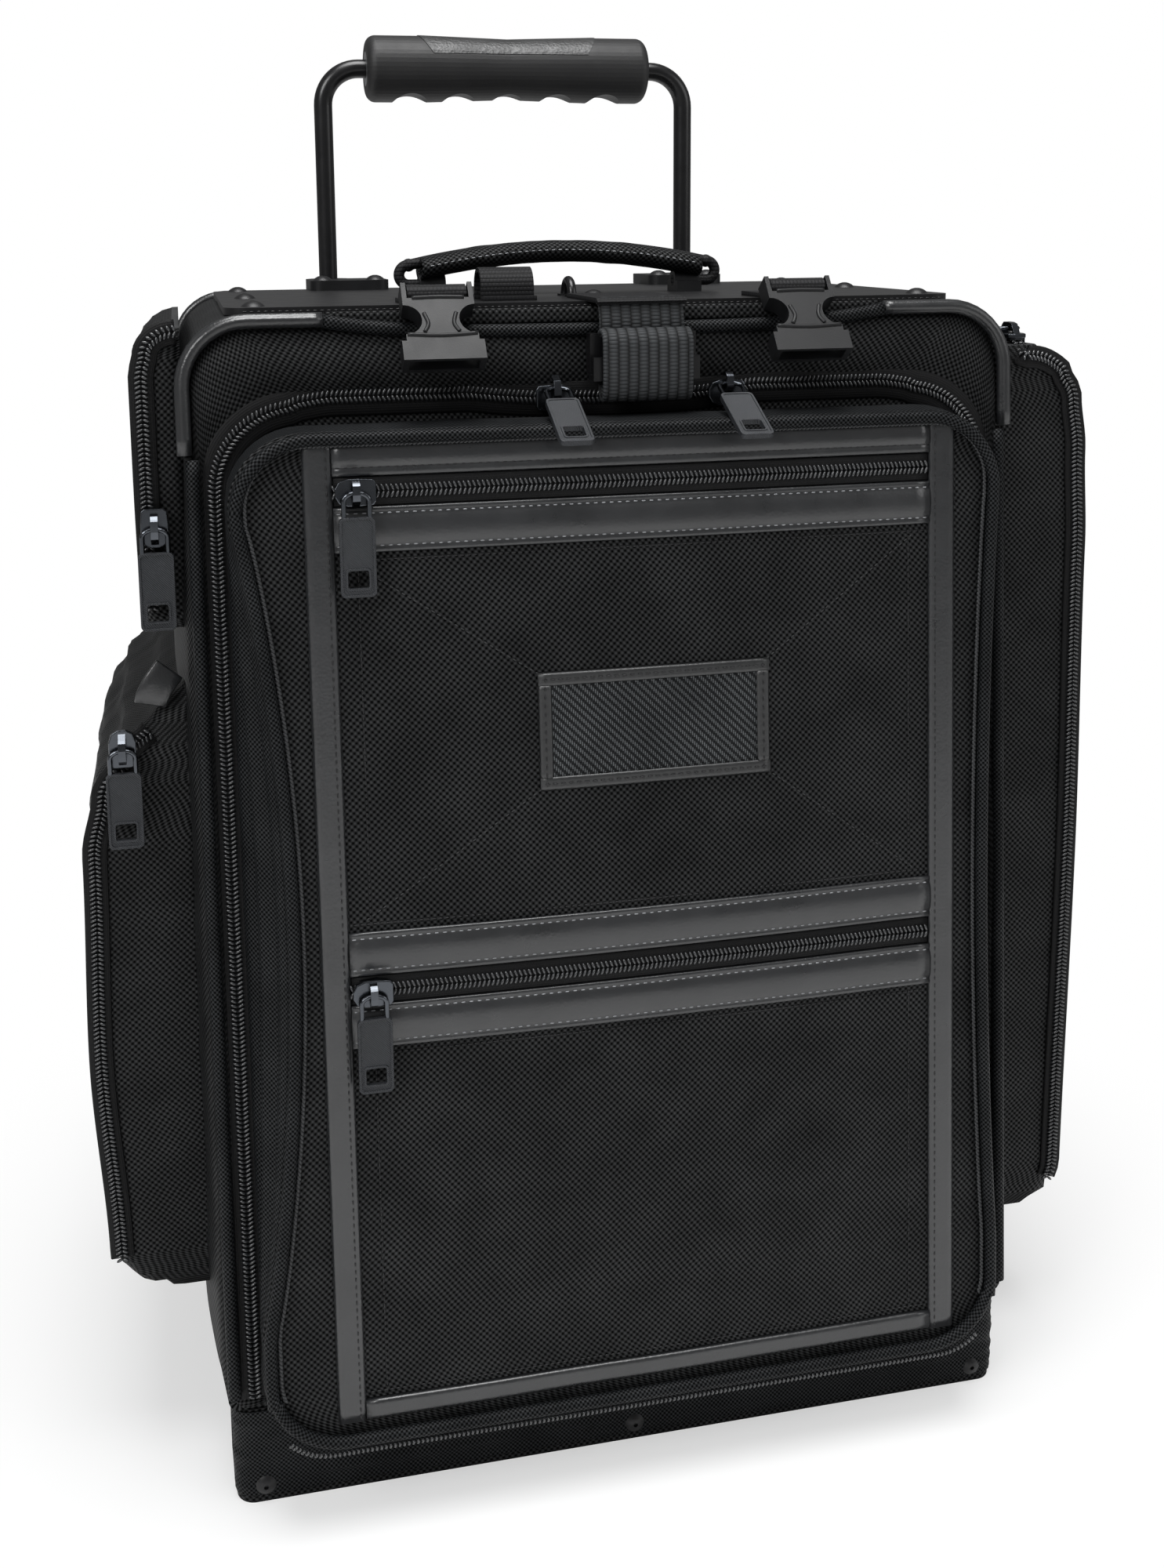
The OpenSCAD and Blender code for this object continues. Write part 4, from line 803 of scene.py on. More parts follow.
# %% Pocket helper
def pocket(name, side, levels, y0, y1, corner, fold, seed, n_round=44):
    """levels: (height, how far it stands out); smoothly joined."""
    zs = [p[0] for p in levels]

    def out_at(z):
        for (za, oa), (zb, ob) in zip(levels, levels[1:]):
            if za <= z <= zb:
                t = (z - za) / max(1e-6, zb - za)
                t = t * t * (3 - 2 * t)
                return oa + (ob - oa) * t
        return levels[-1][1]

    rows = []
    nz = 84
    for i in range(nz + 1):
        z = zs[0] + (zs[-1] - zs[0]) * i / nz
        out = max(0.6, out_at(z))
        r = min(corner, out * 0.9)
        # The section: out along the rear wall, a bend, the side, a bend, back to the body.
        wall, arc, flat = out - r, math.pi * r / 2, y1 - y0 - 2 * r
        length = wall * 2 + flat + math.pi * r
        row = []
        for k in range(n_round + 1):
            d = k / n_round * length
            if d < wall:
                p = (d, y1)
            elif d < wall + arc:
                a = (d - out + r) / r
                p = (wall + r * math.sin(a), y1 - r + r * math.cos(a))
            elif d < wall + arc + flat:
                p = (out, y1 - r - (d - wall - arc))
            elif d < length - wall:
                a = (d - wall - arc - flat) / r
                p = (wall + r * math.cos(a), y0 + r - r * math.sin(a))
            else:
                p = (length - d, y0)
            crease = fold * ripple(0, p[1], z * 1.5, 34, seed)
            crease += 0.6 * fold * ripple(0, p[1], z, 13, seed + 4)
            belly = 1.2 * math.sin(math.pi * (p[1] - y0) / (y1 - y0))
            near_end = min(1, (z - zs[0]) / 8, (zs[-1] - z) / 8 + 0.001)
            off = (crease + belly - 1.0) * min(1, p[0] / 6) * near_end
            to_x, to_y = (1, 0) if y0 + r < p[1] < y1 - r else (0.5, 0.4 if p[1] > 0 else -0.4)
            x = side * (HALF + p[0] + off * to_x)
            row.append(Vector((x, p[1] + off * to_y * 0.5, z)))
        rows.append(row)
    faces, uvs = grid_faces(rows, False, False, side > 0)
    nv = n_round + 1
    faces.append([i * nv for i in range(nz + 1)] + [i * nv + n_round for i in range(nz, -1, -1)])
    uvs.append([(0.0, 0.0)] * (2 * nz + 2))
    for base in (0, nz * nv):
        faces.append([base + k for k in range(nv)])
        uvs.append([(0.0, 0.0)] * nv)
    obj = finish_mesh(name, [p for r in rows for p in r], faces, uvs)
    outward(obj)
    front = []
    for z in zs_range(zs[0] + 9, zs[-1] - 7):
        x = side * (HALF + max(0.6, out_at(z)) - 4.5)
        front.append(Vector((x, y0 - 0.4, z)))
    return obj, front


def zs_range(a, b, step=4.0):
    n = max(2, int((b - a) / step))
    return [a + (b - a) * k / n for k in range(n + 1)]


PY0, PY1 = FRONT + 2, FRONT + 190
upper_levels = [(374, 16), (377, 18.5), (382, 19.6), (430, 20), (476, 20), (482, 19),
                (487, 16.6), (490.5, 13.4), (493, 9.5), (494.4, 6), (495, 3)]
pouch_levels = [(82, 24), (87, 38), (100, 46), (190, 50), (280, 48), (306, 43), (322, 33),
                (338, 17), (350, 5), (354, 1.5)]
right_levels = [(62, 34), (67, 44), (82, 48), (240, 49), (388, 47), (432, 45), (456, 42),
                (468, 36), (475, 29), (479, 22)]
pockets = [
    ("upper_pocket", -1, upper_levels, 5, 0.8, 1.0),
    ("lower_pouch", -1, pouch_levels, 6, 2.0, 2.0),
    ("right_pocket", 1, right_levels, 6, 1.8, 3.0),
]
pocket_front_edge = {}
for label, side, levels, bend_r, fold, seed in pockets:
    piece, front_edge = pocket(label + "_cloth", side, levels, PY0, PY1, bend_r, fold, seed)
    pocket_front_edge[label] = front_edge
    wear(piece, nylon, "case", [label])
print("three pockets done")

# %% [markdown]
# ## Things that repeat
# Stitches and coil teeth follow a path, so one Geometry Nodes tree makes them all. It
# turns the drawn lines into curves, spaces points along them, and puts a small bead on
# each, turned along the line and away from the surface. The result is made plain mesh.

# %% Repeat a bead along lines
ALIGN = "FunctionNodeAlignRotationToVector"


def repeat_tree(name, material, segments, rings):
    tree = bpy.data.node_groups.new(name, "GeometryNodeTree")
    face = tree.interface
    for label, kind in (("Lines", "Geometry"), ("Pitch", "Float"), ("Size", "Vector"),
                        ("Offset", "Vector"), ("Slant", "Float")):
        face.new_socket(label, in_out="INPUT", socket_type=f"NodeSocket{kind}")
    face.new_socket("Geometry", in_out="OUTPUT", socket_type="NodeSocketGeometry")
    start = put(tree, "NodeGroupInput").outputs
    curve = put(tree, "GeometryNodeMeshToCurve", {0: start["Lines"]})
    spaced = put(tree, "GeometryNodeResampleCurve",
                 {"Curve": curve, "Length": start["Pitch"]}, mode="LENGTH")
    away = put(tree, "GeometryNodeInputNamedAttribute", {"Name": "away"},
               data_type="FLOAT_VECTOR")
    along = put(tree, "GeometryNodeInputTangent")
    turned = put(tree, ALIGN, {"Vector": along}, axis="X")
    raised = put(tree, ALIGN, {"Rotation": turned, "Vector": away}, axis="Z", pivot_axis="X")
    tilt = put(tree, "FunctionNodeAxisAngleToRotation",
               {"Axis": (0, 0, 1), "Angle": start["Slant"]})
    facing = put(tree, "FunctionNodeRotateRotation", {"Rotation": raised, "Rotate By": tilt},
                 rotation_space="LOCAL")
    ball = put(tree, "GeometryNodeMeshUVSphere",
               {"Segments": segments, "Rings": rings, "Radius": 0.5})
    bead = put(tree, "GeometryNodeTransform",
               {"Geometry": ball, "Translation": start["Offset"], "Scale": start["Size"]})
    placed = put(tree, "GeometryNodeInstanceOnPoints",
                 {"Points": spaced, "Instance": bead, "Rotation": facing})
    plain_mesh = put(tree, "GeometryNodeRealizeInstances", {0: placed})
    smooth = put(tree, "GeometryNodeSetShadeSmooth", {0: plain_mesh})
    finished = put(tree, "GeometryNodeSetMaterial", {"Geometry": smooth, "Material": material})
    put(tree, "NodeGroupOutput", {0: finished})
    return tree


def run_mesh(name, runs):
    """Lines with, at each point, the direction away from the surface."""
    verts, edges, aways = [], [], []
    for run in runs:
        base = len(verts)
        for p, away in run:
            verts.append(tuple(p * MM))
            aways.append(away)
        edges += [(base + k, base + k + 1) for k in range(len(run) - 1)]
    mesh = bpy.data.meshes.new(name)
    mesh.from_pydata(verts, edges, [])
    layer = mesh.attributes.new("away", "FLOAT_VECTOR", "POINT")
    for k, away in enumerate(aways):
        layer.data[k].vector = away
    return show(name, mesh)


def repeat(name, runs, tree, material, body, pitch, size, offset=(0, 0, 0), slant=0.0):
    obj = run_mesh(name, runs)
    mod = obj.modifiers.new("repeat", "NODES")
    mod.node_group = tree
    names = {item.name: item.identifier for item in tree.interface.items_tree
             if item.in_out == "INPUT"}
    mod[names["Pitch"]] = pitch * MM
    mod[names["Size"]] = [v * MM for v in size]
    mod[names["Offset"]] = [v * MM for v in offset]
    mod[names["Slant"]] = math.radians(slant)
    ready = obj.evaluated_get(bpy.context.evaluated_depsgraph_get())
    mesh = bpy.data.meshes.new_from_object(ready)
    obj.modifiers.clear()
    old = obj.data
    obj.data = mesh
    bpy.data.meshes.remove(old)
    wear(obj, material, body)


stitch_tree = repeat_tree("stitches", thread, 6, 4)
tooth_tree = repeat_tree("coil_teeth", coil_nylon, 7, 5)


def coil(name, runs, body, wide=6.2, pitch=1.9, high=1.7):
    """Two slanted rows of loops that meet in the middle."""
    for label, side in (("a", 1), ("b", -1)):
        repeat(f"{name}_{label}", runs, tooth_tree, coil_nylon, body, pitch,
               (1.25, wide * 0.56, high), (0.0, side * wide * 0.25, high * 0.4), side * 24)


# %% [markdown]
# ## Stitches on the lid
# The strips beside the zips are sewn with grey thread that shows as pale dashes. The side
# strips, the patch and the nylon's seams have black thread. The quilting runs from the
# panel's corners to the patch in dark grey.

# %% Lid stitches
def lid_line(x0, z0, x1, z1, out, n=40):
    return [(on_lid(x0 + (x1 - x0) * k / n, z0 + (z1 - z0) * k / n, out), LID_OUT)
            for k in range(n + 1)]


PATCH_X, PATCH_Z, PATCH_W, PATCH_H = 8.0, 331.0, 98.0, 48.0
# The sewing's pitch, and the length, width and height of each kind of stitch.
SEWN, PALE, BLACK = 3.3, (1.9, 0.62, 0.5), (2.2, 0.75, 0.5)
# A dark bead beside each pale stitch is painted shade: its size, and its place to one side of
# the stitch.
STITCH_SHADE, STITCH_SHADE_PLACE = (1.3, 0.9, 0.35), (0.0, 0.75, -0.02)
STITCH_IN = 2.6
pale = []
for z0 in strip_lows:
    for z in (z0 + STITCH_IN, z0 + STRIP - STITCH_IN):
        pale.append(lid_line(left + 2, z, right_in - 2, z, 1.25))
black = [lid_line(left + 2, band_z + 3.4, right_in - 2, band_z + 3.4, 1.25)]
for x in (left - 2.4, right_in + 2.4):
    black.append(lid_line(x, TRIM_LOW + 2, x, TRIM_TOP + 4, 2.2, 90))
sewn_w, sewn_h = PATCH_W / 2 - STITCH_IN, PATCH_H / 2 - STITCH_IN
corners = [(PATCH_X + sx * sewn_w, PATCH_Z + sz * sewn_h)
           for sx, sz in ((-1, -1), (1, -1), (1, 1), (-1, 1))]
for a, b in zip(corners, corners[1:] + corners[:1]):
    black.append(lid_line(*a, *b, 2.0))
repeat("lid_stitches", pale, stitch_tree, thread, "lid", SEWN, PALE)
# Dark beads beside the pale stitches, painted shade.
repeat("lid_stitch_shade", pale, stitch_tree, dark_thread, "lid", SEWN, STITCH_SHADE, STITCH_SHADE_PLACE)
repeat("lid_black_stitches", black, stitch_tree, dark_thread, "lid", SEWN, BLACK)

# %% Quilting and panel seams
high_z, low_z = strip_lows[0] - 5, strip_lows[1] + STRIP + 5
under_zip, hem_z = strip_lows[2] - 3, TRIM_LOW + 11
quilt = []
for sx, x in ((-1, left + 8), (1, right_in - 8)):
    for z, sz in ((high_z, 1), (low_z, -1)):
        patch_x, patch_z = PATCH_X + sx * PATCH_W / 2, PATCH_Z + sz * PATCH_H / 2
        quilt.append(lid_line(x, z, patch_x, patch_z, 0.1))
repeat("quilting", quilt, stitch_tree, dim_thread, "lid", 2.7, (1.9, 0.6, 0.45))
dark = [lid_line(left + 3, z, right_in - 3, z, 0.15)
        for z in (high_z + 2, low_z - 2, under_zip, hem_z)]
for x in (left + 9, right_in - 9):
    dark.append(lid_line(x, low_z - 2, x, high_z + 2, 0.15, 60))
    dark.append(lid_line(x, hem_z, x, under_zip, 0.15, 60))
repeat("panel_seams", dark, stitch_tree, dark_thread, "lid", 2.6, (2.0, 0.6, 0.5))
print("lid stitched")

# %% [markdown]
# ## The zips
# A coil zip is a tape with a nylon coil sewn on it. The lid's zip goes round its edge,
# the panel has two, and each side pocket has one along its outer edge.

# %% Lid and panel zips
ZIP_HALF, ZIP_TOP, ZIP_ENDS, ZIP_RISE = 165, 463.0, 49, 3.2


def coil_height(x):
    """The zip rises a little on each side of the strap and comes down at the corners."""
    far = abs(x)
    rise = ZIP_RISE if far > 60 else ZIP_RISE * (far / 60) ** 3
    return ZIP_TOP + rise * (1 if far < 120 else max(0, 1 - (far - 120) / 20))


ring_run = []
for x, z in rounded_outline(-ZIP_HALF, ZIP_HALF, 20, ZIP_TOP, 34, 60, 14):
    if z > ZIP_ENDS:
        coil_z = coil_height(x) if z > ZIP_TOP - 0.1 else z
        ring_run.append((on_face(x, coil_z, 1.25), FACE_OUT))
coil("lid_zip_coil", [ring_run], "lid")
tape_parts = new_parts()
ring_tape = [p - FACE_OUT * 0.75 for p, _ in ring_run]
sweep("", ring_tape, FACE_OUT, flat_profile(15.5, 0.7), parts=tape_parts)
panel_runs = []
for z in (ZIP_A, ZIP_B):
    low, high = z - TAPE_HALF + 0.2, z + TAPE_HALF - 0.2
    lid_band(tape_parts, "x", low, high, left + 0.4, right_in - 0.4, 0.8)
    panel_runs.append(lid_line(left + 1, z, right_in - 1, z, 0.85, 80))
coil("panel_zip_coil", panel_runs, "lid")
lid_tape = joined("lid_zip_tape", tape_parts)
wear(lid_tape, tape, "lid", ["lid_zips"])

# %% Cord inside the panel's edge, and the zip under the lid
cord_run = []
for x, z in rounded_outline(-LID_HALF + 6.4, LID_HALF - 6.4, LID_LOW + 8, LID_TOP - 5.2,
                            LID_R - 6, 60, 14):
    if z > 60:
        cord_x = x + waist(x, z) if abs(x) > 120 else x
        cord_run.append((on_lid(cord_x, z, 1.6), LID_OUT))
repeat("twisted_cord", [cord_run], tooth_tree, dim_cord, "lid", 1.7,
       (3.0, 1.5, 1.5), (0, 0, 0.3), 32)
under = Vector((0, -0.85, -0.53))
hem_ring = rounded_outline(-LID_HALF + 3, LID_HALF - 3, LID_LOW - 0.6, 200, 24, 60, 12)
hem_run = [(Vector((x, LID_Y0 - 5.0, z - 1.0)), under) for x, z in hem_ring if z < 46]
# The outline starts at its low right corner, so the run is turned to start at its left end.
jumps = [(b[0] - a[0]).length > 40 for a, b in zip(hem_run, hem_run[1:])]
split = jumps.index(True) + 1
hem_run = hem_run[split:] + hem_run[:split]
coil("lower_zip_coil", [hem_run], "lid", 3.4)

# %% Pocket zips
pocket_tape = new_parts()
runs = {}
for label, z_from, z_to in (("upper_pocket", 383, 486), ("lower_pouch", 96, 334),
                            ("right_pocket", 72, 470)):
    runs[label] = [(p, Vector((0, -1, 0))) for p in pocket_front_edge[label]
                   if z_from <= p.z <= z_to]
# The right pocket's zip turns back over its top.
top_z, top_x = 479.2, HALF + 13
over = []
for k in range(61):
    y = PY0 - 0.4 + 180 * k / 60
    bend = max(0.0, 1 - (y - PY0) / 8) ** 2
    over.append((Vector((top_x, y, top_z - 5 * bend)), Vector((0, -bend, 1)).normalized()))
last = runs["right_pocket"][-1][0]
for t in range(1, 8):
    p = last.lerp(over[0][0], t / 8) + Vector((0, 0, 2.2 * math.sin(math.pi * t / 8)))
    runs["right_pocket"].append((p, Vector((0, -1, t / 10)).normalized()))
runs["right_pocket"] += over
# The upper pocket's zip curls in to the body at its top.
last = runs["upper_pocket"][-1][0]
for t in range(1, 11):
    a = math.pi / 2 * t / 10
    x = last.x + (-HALF - 1.5 - last.x) * (1 - math.cos(a))
    p = Vector((x, last.y, last.z + 9.5 * math.sin(a)))
    runs["upper_pocket"].append((p, Vector((0, -1, 0.2)).normalized()))
for label, run in runs.items():
    sweep("", [p for p, _ in run], run[0][1], flat_profile(10, 0.7), parts=pocket_tape)
    coil(label + "_coil", [[(p + away * 0.8, away) for p, away in run]], "case", 5.8)
pocket_tapes = joined("pocket_zip_tape", pocket_tape)
wear(pocket_tapes, tape, "case", ["pocket_zips"])
print("zips done")

# %% [markdown]
# ## Sliders and pulls
# A slider is a cast body with rounded shoulders and a bridge. The pull hangs from the
# bridge by a wire ring, and its plate has a raised rim, a sandblasted face and a slot.
# The ring and the plate are modelled once and the slider for each zip. All are set where
# the CAD model has the pull's hinge.

# %% Slider and pull shapes
def from_bmesh(name, shape):
    mesh = bpy.data.meshes.new(name)
    shape.to_mesh(mesh)
    shape.free()
    return mesh


def add_mesh(shape, verts, faces):
    made = [shape.verts.new(v) for v in verts]
    for f in faces:
        shape.faces.new([made[k] for k in f])


def prism(shape, outline_pts, y0, y1, hole=None, bevel=0.0):
    """A plate in the XZ plane from y0 (front) to y1, with an optional hole."""
    n = len(outline_pts)
    ring = [(x, y0, z) for x, z in outline_pts] + [(x, y1, z) for x, z in outline_pts]
    local = bmesh.new()
    if hole:
        m = len(hole)
        verts = ring + [(x, y0, z) for x, z in hole] + [(x, y1, z) for x, z in hole]
        made = [local.verts.new(v) for v in verts]
        walls = [(k, (k + 1) % n, n + (k + 1) % n, n + k) for k in range(n)]
        for k in range(m):
            a, b = 2 * n + k, 2 * n + (k + 1) % m
            walls.append((b, a, m + a, m + b))
        for wall in walls:
            local.faces.new([made[k] for k in wall])
        for out_from, in_from in ((0, 2 * n), (n, 2 * n + m)):
            edges = []
            for base, count in ((out_from, n), (in_from, m)):
                edges += [local.edges.get((made[base + k], made[base + (k + 1) % count]))
                          for k in range(count)]
            bmesh.ops.triangle_fill(local, edges=edges, use_beauty=True)
    else:
        made = [local.verts.new(v) for v in ring]
        for k in range(n):
            q = (k + 1) % n
            local.faces.new([made[k], made[q], made[n + q], made[n + k]])
        local.faces.new(made[:n])
        local.faces.new(made[n:][::-1])
    bmesh.ops.recalc_face_normals(local, faces=local.faces)
    if bevel:
        rim_edges = [e for e in local.edges
                     if len(e.link_faces) == 2 and e.calc_face_angle(0) > 0.9
                     and abs(e.verts[0].co.y - e.verts[1].co.y) < 1e-4]
        bmesh.ops.bevel(local, geom=rim_edges, offset=bevel, segments=2, affect="EDGES",
                        profile=0.6)
    temp = bpy.data.meshes.new("temp")
    local.to_mesh(temp)
    local.free()
    shape.from_mesh(temp)
    bpy.data.meshes.remove(temp)


def rounded(w, z0, z1, r, n=5):
    return rounded_outline(-w / 2, w / 2, z0, z1, r, 2, n)


def tube_faces(count, sides):
    """Faces between rows of points, with both ends closed."""
    faces = []
    for k in range(count - 1):
        for j in range(sides):
            q = (j + 1) % sides
            faces.append([(k + a) * sides + b for a, b in ((0, j), (0, q), (1, q), (1, j))])
    last = (count - 1) * sides
    return faces + [list(range(sides)), list(range(last, last + sides))[::-1]]


def wire(shape, path, r, sides=10):
    rows = tube_rows([Vector(p) for p in path], Vector((0, 1, 0)), round_profile(r, sides))
    add_mesh(shape, [tuple(p) for row in rows for p in row], tube_faces(len(rows), sides))


PLATE_W, PLATE_T, RING_L, PLATE_L = 14.0, 2.4, 10.5, 30.5


def pull_meshes():
    """The ring, and the plate that hangs from it."""
    shape = bmesh.new()
    arch = []
    for k in range(13):
        a = math.pi * k / 12
        arch.append((5.0 * math.cos(a), 0, 3.0 * (math.sin(a) - 1)))
    wire(shape, [(5.0, 0, -RING_L + 0.4)] + arch + [(-5.0, 0, -RING_L + 0.4)], 1.0)
    ring = from_bmesh("pull_ring", shape)
    shape = bmesh.new()
    low, high = -RING_L - PLATE_L, -RING_L + 1.2
    edge = rounded(PLATE_W, low, high, 2.2)
    slot = rounded(8.2, low + 3.6, low + 10.6, 0.9, 3)
    prism(shape, edge, -PLATE_T / 2 + 0.35, PLATE_T / 2 - 0.35, slot, 0.25)
    for y0, y1 in ((-PLATE_T / 2, -PLATE_T / 2 + 0.6), (PLATE_T / 2 - 0.6, PLATE_T / 2)):
        prism(shape, edge, y0, y1, rounded(PLATE_W - 2.2, low + 1.1, high - 1.1, 1.4), 0.18)
        prism(shape, rounded(10.0, low + 2.7, low + 11.5, 1.4, 3), y0, y1, slot, 0.15)
    return ring, from_bmesh("pull_plate", shape)


def slider_mesh(up, lift, across):
    """Local axes: X along the zip, -Y away from the tape, Z across it."""
    shape = bmesh.new()
    nose = [(-8, -3.6), (-7, -5.0), (-2, -5.4), (3, -5.4), (6.5, -4.2), (8, -1.6)]
    ends = nose + [(x, -z) for x, z in reversed(nose)]
    prism(shape, ends, -4.9, -2.9, None, 0.5)
    prism(shape, [(x * 0.94, z * 0.8) for x, z in ends], -3.1, -2.0, None, 0.2)
    flank = [(-7.4, 4.0), (-2, 5.3), (5, 4.7), (5, 4.2), (-2, 4.7), (-7.4, 3.4)]
    for side in (-1, 1):
        prism(shape, [(x, side * z) for x, z in flank][::side], -3.2, -0.5, None, 0.1)
    reach = lift + 1.9
    bridge = [(-5.2, -4.4), (-4.8, -reach + 1.4), (-3.4, -reach), (0.6, -reach),
              (3.2, -reach + 0.5), (5.4, -5.2), (6.0, -4.3)]
    bridge = [Vector((x, y, 0)) for x, y in bridge]
    smooth = []
    for a, b in zip(bridge, bridge[1:]):
        smooth += [a.lerp(b, t / 3) for t in range(3)]
    smooth.append(bridge[-1])
    if across:
        smooth = [Vector((0, p.y, p.x * 0.8)) for p in smooth]
    flat = Vector((1, 0, 0)) if across else Vector((0, 0, 1))
    rows = tube_rows(smooth, flat, [(-0.75, -1.5), (0.75, -1.5), (0.75, 1.5), (-0.75, 1.5)])
    verts = [tuple(p + Vector((0, 0, up))) for row in rows for p in row]
    add_mesh(shape, verts, tube_faces(len(rows), 4))
    bmesh.ops.recalc_face_normals(shape, faces=shape.faces)
    return from_bmesh("zip_slider", shape)


def set_on(name, mesh, basis, spot, material, body, node):
    data = mesh.copy()
    turn = Matrix(basis).transposed().to_4x4()
    data.transform(Matrix.Scale(MM, 4) @ Matrix.Translation(spot) @ turn)
    for poly in data.polygons:
        poly.use_smooth = False
    obj = show(name, data)
    outward(obj)
    soft = obj.modifiers.new("edges", "BEVEL")
    soft.width, soft.segments, soft.limit_method = 0.18 * MM, 2, "ANGLE"
    return wear(obj, material, body, [node])


# %% Set sliders and pulls on the zips
ring_shape, plate_shape = pull_meshes()
HINGE_OUT, LID_RISE = 7.0, 4.0
X, Y, Z = Vector((1, 0, 0)), Vector((0, 1, 0)), Vector((0, 0, 1))
zip_sets = {
    "lid_left": (X, FACE_OUT), "lid_right": (-X, FACE_OUT),
    "panel_upper": (-X, LID_OUT), "panel_lower": (-X, LID_OUT),
    "pocket_upper": (-Z, -Y), "pouch": (Z, -Y), "right": (-Y, Z),
}
joints = {joint["name"]: joint for joint in frame["joints"]}
for label, (run_dir, out) in zip_sets.items():
    pull, slider = f"pull_{label}", f"slider_{label}"
    joint = joints[f"{pull}_pivot"]
    spot, hinge_axis = Vector(joint["pos_m"]) / MM, Vector(joint["axis"])
    points = [v.co for v in bpy.data.objects[pull].data.vertices]
    hang = (sum(points, Vector()) / len(points) / MM - spot).normalized()
    hang = (hang - hinge_axis * hang.dot(hinge_axis)).normalized()
    pull_axes = (hinge_axis, (-hang).cross(hinge_axis), -hang)
    set_on(f"pull_ring_{label}", ring_shape, pull_axes, spot, gunmetal, pull, pull)
    set_on(f"pull_plate_{label}", plate_shape, pull_axes, spot, blasted, pull, pull)
    body_z = run_dir.cross(-out)
    rise = LID_RISE if label.startswith("lid") else 0.0
    seat = spot - out * HINGE_OUT - Z * rise
    across = abs(hinge_axis.dot(run_dir)) > 0.5
    shape = slider_mesh(rise * body_z.dot(Z), HINGE_OUT + 0.15, across)
    axes = (run_dir, -out, body_z)
    set_on(f"zip_slider_{label}", shape, axes, seat, gunmetal, slider, slider)
print("seven sliders and pulls set")

# %% [markdown]
# ## The bare patch
# The patch is a leather rim round a panel of twill. The panel is left bare, and it is
# woven and sewn as carefully as the rest.

# %% Patch
RIM_W, TWILL_W, TWILL_H = 5.4, 89, 39
half_w, half_h = PATCH_W / 2, PATCH_H / 2
patch_low, patch_left = PATCH_Z - half_h, PATCH_X - half_w
patch_top, patch_right = PATCH_Z + half_h, PATCH_X + half_w
patch_parts = new_parts()
for z in (patch_low, patch_top - RIM_W):
    lid_band(patch_parts, "x", z, z + RIM_W, patch_left, patch_right, 1.75, 30, 0.7)
for x in (patch_left, patch_right - RIM_W):
    lid_band(patch_parts, "z", x, x + RIM_W, patch_low + 5, patch_top - 5, 1.8, 20, 0.7)
patch_rim = joined("patch_rim", patch_parts)
wear(patch_rim, patch_leather, "lid", ["patch"])
twill_rows = []
for k in range(31):
    x = PATCH_X - TWILL_W / 2 + TWILL_W * k / 30
    heights = [PATCH_Z - TWILL_H / 2 + TWILL_H * j / 14 for j in range(15)]
    twill_rows.append([on_lid(x, z, 1.15) for z in heights])
twill_panel = grid("patch_twill", twill_rows, flip=True, thick=1.0)
outward(twill_panel)
wear(twill_panel, twill, "lid", ["patch"])
print("patch", PATCH_W, "by", PATCH_H, "mm")

# %% [markdown]
# ## Straps on top
# The strap is folded webbing that comes over the front edge and holds the hook plate. A
# smooth curve is drawn through a few points, and the webbing's section runs along it.

# %% Webbing
STRAP_X = 10.0


def band_path(points, per=6):
    """A smooth curve through the points."""
    pts = [Vector(p) for p in points]
    out = []
    for k in range(len(pts) - 1):
        p0, p1, p2 = pts[max(0, k - 1)], pts[k], pts[k + 1]
        p3 = pts[min(len(pts) - 1, k + 2)]
        for i in range(per):
            t = i / per
            out.append(0.5 * ((2 * p1) + (p2 - p0) * t
                              + (2 * p0 - 5 * p1 + 4 * p2 - p3) * t * t
                              + (3 * p1 - p0 - 3 * p2 + p3) * t ** 3))
    return out + [pts[-1]]


def strap(name, points, wide, thick, nodes=()):
    """Webbing of the strap; a point is its place to the front and its height."""
    half, t = wide / 2, thick / 2
    prof = [(-half, -t * 0.6), (-half + 0.6, -t), (0, -t), (half - 0.6, -t), (half, -t * 0.6),
            (half, t * 0.6), (half - 0.6, t), (half * 0.5, t), (-half * 0.5, t),
            (-half + 0.6, t), (-half, t * 0.6)]
    path = band_path([(STRAP_X, y, z) for y, z in points])
    outs = []
    for k in range(len(path)):
        along = path[min(k + 1, len(path) - 1)] - path[max(k - 1, 0)]
        outs.append(X.cross(along).normalized() * -1)
    return wear(sweep(name, path, outs, prof), webbing, "centre_strap", nodes)


strap("hook_webbing", [(-108.4, 503.6), (-111.4, 500.5), (-113.2, 494), (-113.0, 489),
                       (-111.2, 484), (-110.6, 474)], 36, 1.4, ["hook_strap"])
strap("hook_fold", [(-112.6, 486.5), (-115.5, 490.2), (-119.5, 490.4), (-122.6, 487.5),
                    (-123.2, 481), (-123.2, 472), (-122.2, 465.5), (-119.6, 463.2),
                    (-116.6, 464.4), (-115.6, 469)], 38, 2.4)
print("webbing laid")

# %% [markdown]
# ## The carry handle
# A tube of nylon is sewn round the carry webbing. It is thick at its ends and pinched in
# the middle, where the hand closes on it, and its ends are left open.

# %% Carry sleeve
SLEEVE_HALF, SLEEVE_Z, SLEEVE_SAG = 66.5, 521.6, 7.4


def sleeve_point(s, a):
    x = (s * 2 - 1) * SLEEVE_HALF
    t = abs(x) / SLEEVE_HALF
    z = SLEEVE_Z - SLEEVE_SAG * t * t
    pinch = 0.72 + 0.28 * min(1, (t * 1.7)) ** 1.6
    wide, tall = 10.6 * pinch + 0.4 * t, 5.6 * (0.86 + 0.14 * pinch)
    crumple = noise.noise(Vector((x / 9, math.cos(a) * 2, math.sin(a) * 2)))
    seam = 0.35 * math.cos(a * 2) + 0.3 * crumple
    return Vector((x, -8 + (wide + seam) * math.cos(a), z + (tall + seam) * math.sin(a)))


